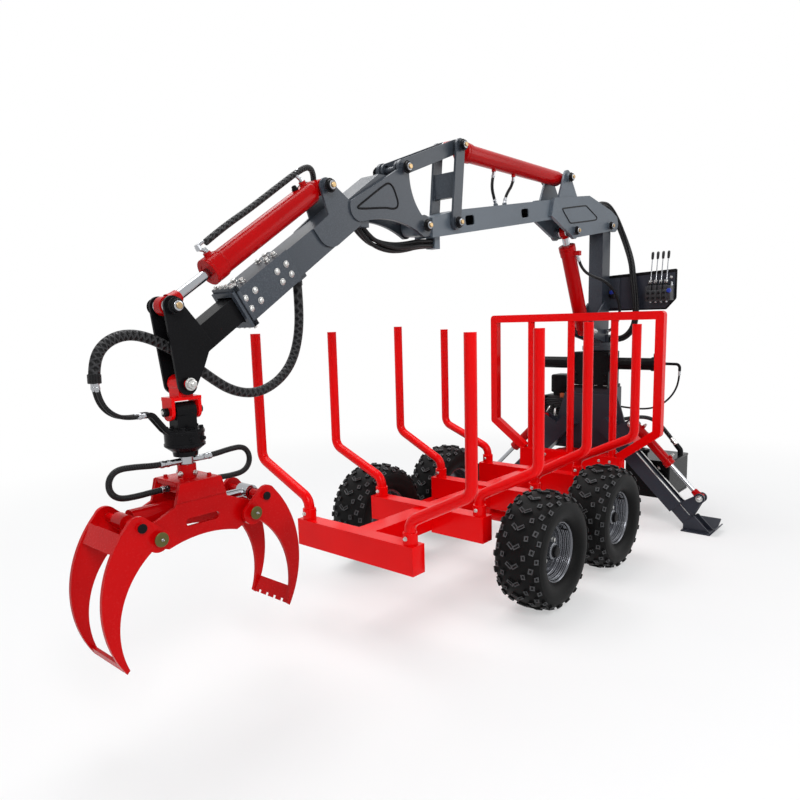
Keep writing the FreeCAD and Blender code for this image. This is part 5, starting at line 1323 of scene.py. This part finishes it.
# %% Slewing housing
scattered(medium_bolt, "housing_foot_bolts", "trailer",
          [((1.320 + dx, dy, 0.880), (0, 0, 1)) for dx in (-0.100, 0.100)
           for dy in (-0.100, -0.035, 0.035, 0.100)], zinc)
RACK_X, RACK_Z = 1.262, 1.030          # centre line of the rack cylinder
flanges, covers, flange_bolts = [], [], []
for side in (-1, 1):
    flanges.append(lathed([(0, 0.0600), (0.001, 0.0620), (0.014, 0.0620), (0.016, 0.0600), (0.016, 0.0450),
                           (0.022, 0.0430)], 36, (RACK_X, side * 0.1275, RACK_Z), (0, side, 0)))
    covers.append(lathed([(0, 0.0440), (0.003, 0.0440), (0.004, 0.0200), (0.0085, 0.0200), (0.0095, 0.0185)],
                         32, (RACK_X, side * 0.4455, RACK_Z), (0, side, 0)))
    for a in (radians(d) for d in (45, 135, 225, 315)):
        for circle, y in ((0.0520, 0.1435), (0.0330, 0.4490)):
            spot = (RACK_X + circle * cos(a), side * y, RACK_Z + circle * sin(a))
            flange_bolts.append((spot, (0, side, 0)))
settled(joined(flanges + covers), "rack_flanges", "trailer", black_paint)
scattered(small_bolt, "rack_bolts", "trailer", flange_bolts, zinc)
scattered(medium_bolt, "housing_face_bolts", "trailer",
          [((1.205, dy, z), (-1, 0, 0)) for dy in (-0.105, 0.105) for z in (0.908, 0.960, 1.084)],
          black_paint)

# %% Oil tank
CAP_X, CAP_Y, CAP_Z, CAP_GRIPS = 1.330, -0.330, 0.428, 16
cap = lathed([(0, 0.0385), (0.004, 0.0400), (0.022, 0.0400), (0.026, 0.0370), (0.027, 0.0150),
              (0.031, 0.0140)], 32, (CAP_X, CAP_Y, CAP_Z), (0, 0, 1))
grip = [placed(box((-0.0025, -0.0025, 0.003), (0.0025, 0.0025, 0.023), 0.0008),
               (CAP_X + 0.0402 * cos(a), CAP_Y + 0.0402 * sin(a), CAP_Z), (0, 0, 1), a)
        for a in (2 * pi * i / CAP_GRIPS for i in range(CAP_GRIPS))]
settled(joined([cap] + grip), "tank_cap", "trailer", black_paint)
rims = [((1.250, y, 0.394), (1.600, y, 0.394)) for y in (-0.5405, -0.2445)]
rims += [((x, -0.532, 0.394), (x, -0.253, 0.394)) for x in (1.2395, 1.6105)]
rims += [((1.250, y, 0.158), (1.600, y, 0.158)) for y in (-0.5405, -0.2445)]
settled(joined([strip(a, b, 0.006, 0.010) for a, b in rims]), "tank_seams", "trailer", black_paint)
glass = [lathed([(0, 0.0170), (0.006, 0.0170), (0.008, 0.0150), (0.008, 0.0110), (0.005, 0.0105)], 28,
                (1.2405, -0.400, 0.300), (-1, 0, 0))]
glass += [copied(medium_bolt, (1.2400, y, z), (-1, 0, 0)) for y, z in ((-0.300, 0.185), (-0.470, 0.350))]
settled(joined(glass), "tank_fittings", "trailer", zinc)
scattered(small_bolt, "tank_bracket_bolts", "trailer",
          [((x, -0.2175, 0.358), (0, 0, 1)) for x in (1.425, 1.475)], zinc)

# %% Stakes and bolsters
BOLSTER_X, STAKE_Y = (-1.100, -0.600, -0.090, 0.400), 0.306
feet, foot_bolts, caps = [], [], []
collar = turned([(0, 0.0300), (0.001, 0.0310), (0.048, 0.0310), (0.050, 0.0295), (0.050, 0.0245)], 32)
masters.append(collar)
for x in BOLSTER_X:
    for side in (-1, 1):
        feet.append(copied(collar, (x, side * STAKE_Y, 0.4515), (0, 0, 1)))
        foot_bolts += [((x + end * 0.0300, side * STAKE_Y, 0.480), (end, 0, 0)) for end in (-1, 1)]
settled(joined(feet), "stake_collars", "trailer", red_paint)
scattered(small_bolt, "stake_bolts", "trailer", foot_bolts, zinc)
scattered(small_bolt, "crossmember_bolts", "trailer",
          [((0.8845, y, 0.435), (-1, 0, 0)) for y in (-0.288, -0.216, 0.167, 0.240)], zinc)
for x in BOLSTER_X:
    for side in (-1, 1):
        cap = box((x - 0.0385, -0.002, 0.3295), (x + 0.0385, 0.002, 0.4525), 0.0012)
        cap.location = (0, side * 0.3460, 0)
        caps.append(cap)
settled(joined(caps), "bolster_caps", "trailer", red_paint)

# %% [markdown]
# ## Engine
# A small air-cooled engine drives the pump. It stands on a tray: crankcase, finned barrel, air filter box,
# hand starter at the rear, fuel tank, exhaust pipes, and the pump with its flange.

# %% Engine tray and castings
tray = [box((1.230, 0.050, 0.428), (1.640, 0.470, 0.440), 0.0015),
        box((1.230, 0.462, 0.436), (1.640, 0.470, 0.462), 0.0015),
        box((1.230, 0.056, 0.436), (1.238, 0.466, 0.462), 0.0015)]
settled(joined(tray), "engine_tray", "trailer", plate_dark)
SHAFT_Y, SHAFT_Z = 0.310, 0.540        # the crankshaft, which the pump sits on
FINS, FIN_STEP = 9, 0.0125
block = plate([(1.300, 0.470), (1.330, 0.452), (1.540, 0.452), (1.552, 0.470), (1.552, 0.600),
               (1.530, 0.640), (1.318, 0.640), (1.300, 0.615)], 0.200, 0.425, 0.006)
case = [block, box((1.300, 0.205, 0.440), (1.335, 0.420, 0.456), 0.003),
        box((1.510, 0.205, 0.440), (1.545, 0.420, 0.456), 0.003),
        box((1.335, 0.250, 0.636), (1.470, 0.400, 0.770), 0.010)]
for i in range(FINS):
    case.append(box((1.318, 0.225, 0.652 + FIN_STEP * i), (1.486, 0.418, 0.657 + FIN_STEP * i), 0.0015))
case.append(box((1.330, 0.243, 0.764), (1.462, 0.396, 0.786), 0.008))
case.append(lathed([(0, 0.0560), (0.003, 0.0590), (0.022, 0.0590), (0.026, 0.0540), (0.064, 0.0520),
                    (0.070, 0.0460), (0.074, 0.0300)], 40, (1.552, SHAFT_Y, SHAFT_Z), (1, 0, 0)))
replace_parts(settled(joined(case), "engine_castings", "trailer", casing), "engine")

# %% Engine covers, fuel tank and starter
STARTER, STARTER_RIBS = (1.301, 0.361, 0.512), 10
cowl = [box((1.296, 0.232, 0.806), (1.440, 0.348, 0.938), 0.014),
        box((1.310, 0.246, 0.784), (1.426, 0.334, 0.812), 0.004),
        box((1.302, 0.236, 0.866), (1.434, 0.2315, 0.874), 0.001),
        box((1.298, 0.408, 0.622), (1.470, 0.432, 0.780), 0.008)]
cowl.append(lathed([(0, 0.0545), (0.010, 0.0545), (0.018, 0.0500), (0.024, 0.0420), (0.026, 0.0240),
                    (0.031, 0.0230), (0.033, 0.0180)], 40, STARTER, (-1, 0, 0)))
for i in range(STARTER_RIBS):
    rib = box((-0.0022, 0.026, 0.0225), (0.0022, 0.044, 0.0275), 0.0008)
    cowl.append(placed(rib, STARTER, (-1, 0, 0), 2 * pi * i / STARTER_RIBS))
settled(joined(cowl), "engine_covers", "trailer", black_paint)
settled(box((1.482, 0.215, 0.660), (1.602, 0.415, 0.765), 0.022), "fuel_tank", "trailer", red_paint)
fuel_cap = [lathed([(0, 0.0230), (0.010, 0.0250), (0.020, 0.0250), (0.023, 0.0220)], 24,
                   (1.542, 0.315, 0.764), (0, 0, 1)),
            box((1.500, 0.225, 0.640), (1.520, 0.405, 0.662), 0.002),
            box((1.565, 0.225, 0.620), (1.585, 0.405, 0.662), 0.002)]
settled(joined(fuel_cap), "fuel_cap", "trailer", black_paint)
settled(box((1.284, 0.236, 0.772), (1.304, 0.268, 0.806), 0.004), "choke_knob", "trailer", housing_orange)

# %% Exhaust pipes, bolts and pump flange
exhaust_lines = [
    ([(1.330, 0.305, 0.690), (1.296, 0.305, 0.690), (1.282, 0.305, 0.672), (1.282, 0.300, 0.640),
      (1.290, 0.290, 0.604), (1.312, 0.284, 0.598)], 0.010),
    ([(1.330, 0.345, 0.705), (1.290, 0.345, 0.705), (1.276, 0.352, 0.690), (1.276, 0.372, 0.640),
      (1.284, 0.385, 0.600), (1.306, 0.390, 0.594)], 0.008)]
pipes = [hose("engine_pipe", points, radius, chrome)[0] for points, radius in exhaust_lines]
pipes += [copied(small_bolt, (1.3005, y, z), (-1, 0, 0))
          for y in (0.218, 0.300, 0.405) for z in (0.482, 0.618)]
pipes += [copied(small_bolt, (1.545, y, 0.630), (0, 0, 1)) for y in (0.23, 0.39)]
pipes += [copied(medium_bolt, (x, y, 0.456), (0, 0, 1))
          for x in (1.3175, 1.5275) for y in (0.2120, 0.4130)]
pipes += [copied(small_bolt, (1.578, SHAFT_Y + 0.0470 * cos(a), SHAFT_Z + 0.0470 * sin(a)), (1, 0, 0))
          for a in (radians(d) for d in (30, 150, 270))]
pipes.append(lathed([(-0.003, 0.0260), (0.003, 0.0260), (0.004, 0.0230), (0.012, 0.0190)], 24,
                    (1.624, SHAFT_Y, SHAFT_Z), (1, 0, 0)))
settled(joined(pipes), "engine_pipes_and_bolts", "trailer", zinc)
print("engine, tank and frame dressed")

# %% Put the masters away
for master in masters:
    bpy.data.objects.remove(master)

# %% [markdown]
# ## Finish the CAD nodes
# The record names a material slot for each node. Each node that is still shown gets the finish of its slot.
# A few nodes share a slot and still look different on the real trailer: the boom is paler than the dipper,
# and the mast, the legs and the valve's guard are darker. The cylinders get a darker red than the frame, in
# which the shade of their round barrels is painted.

# %% Give each CAD node its finish
own_finish = {"column": mast_paint, "pedestal": plate_dark, "valve_plate": plate_dark, "boom": boom_paint,
              "stabiliser_tubes": plate_dark, "left_leg": plate_dark, "right_leg": plate_dark}
# Barrels and the grapple's cylinder get the darker red, with their shade painted in.
own_finish.update({name: shaded_cylinder_red for name in nodes if "barrel" in name or name == "grapple_cylinder"})
for part in frame["record"]["subparts"]:
    if part["material_slot"] in finishes:
        shape = nodes[part["node"]].data
        shape.materials.clear()
        shape.materials.append(own_finish.get(part["node"], finishes[part["material_slot"]]))

# %% [markdown]
# ## View settings
# The Standard view shows colours as they are written.

# %% Close
bpy.context.scene.view_settings.view_transform = "Standard"
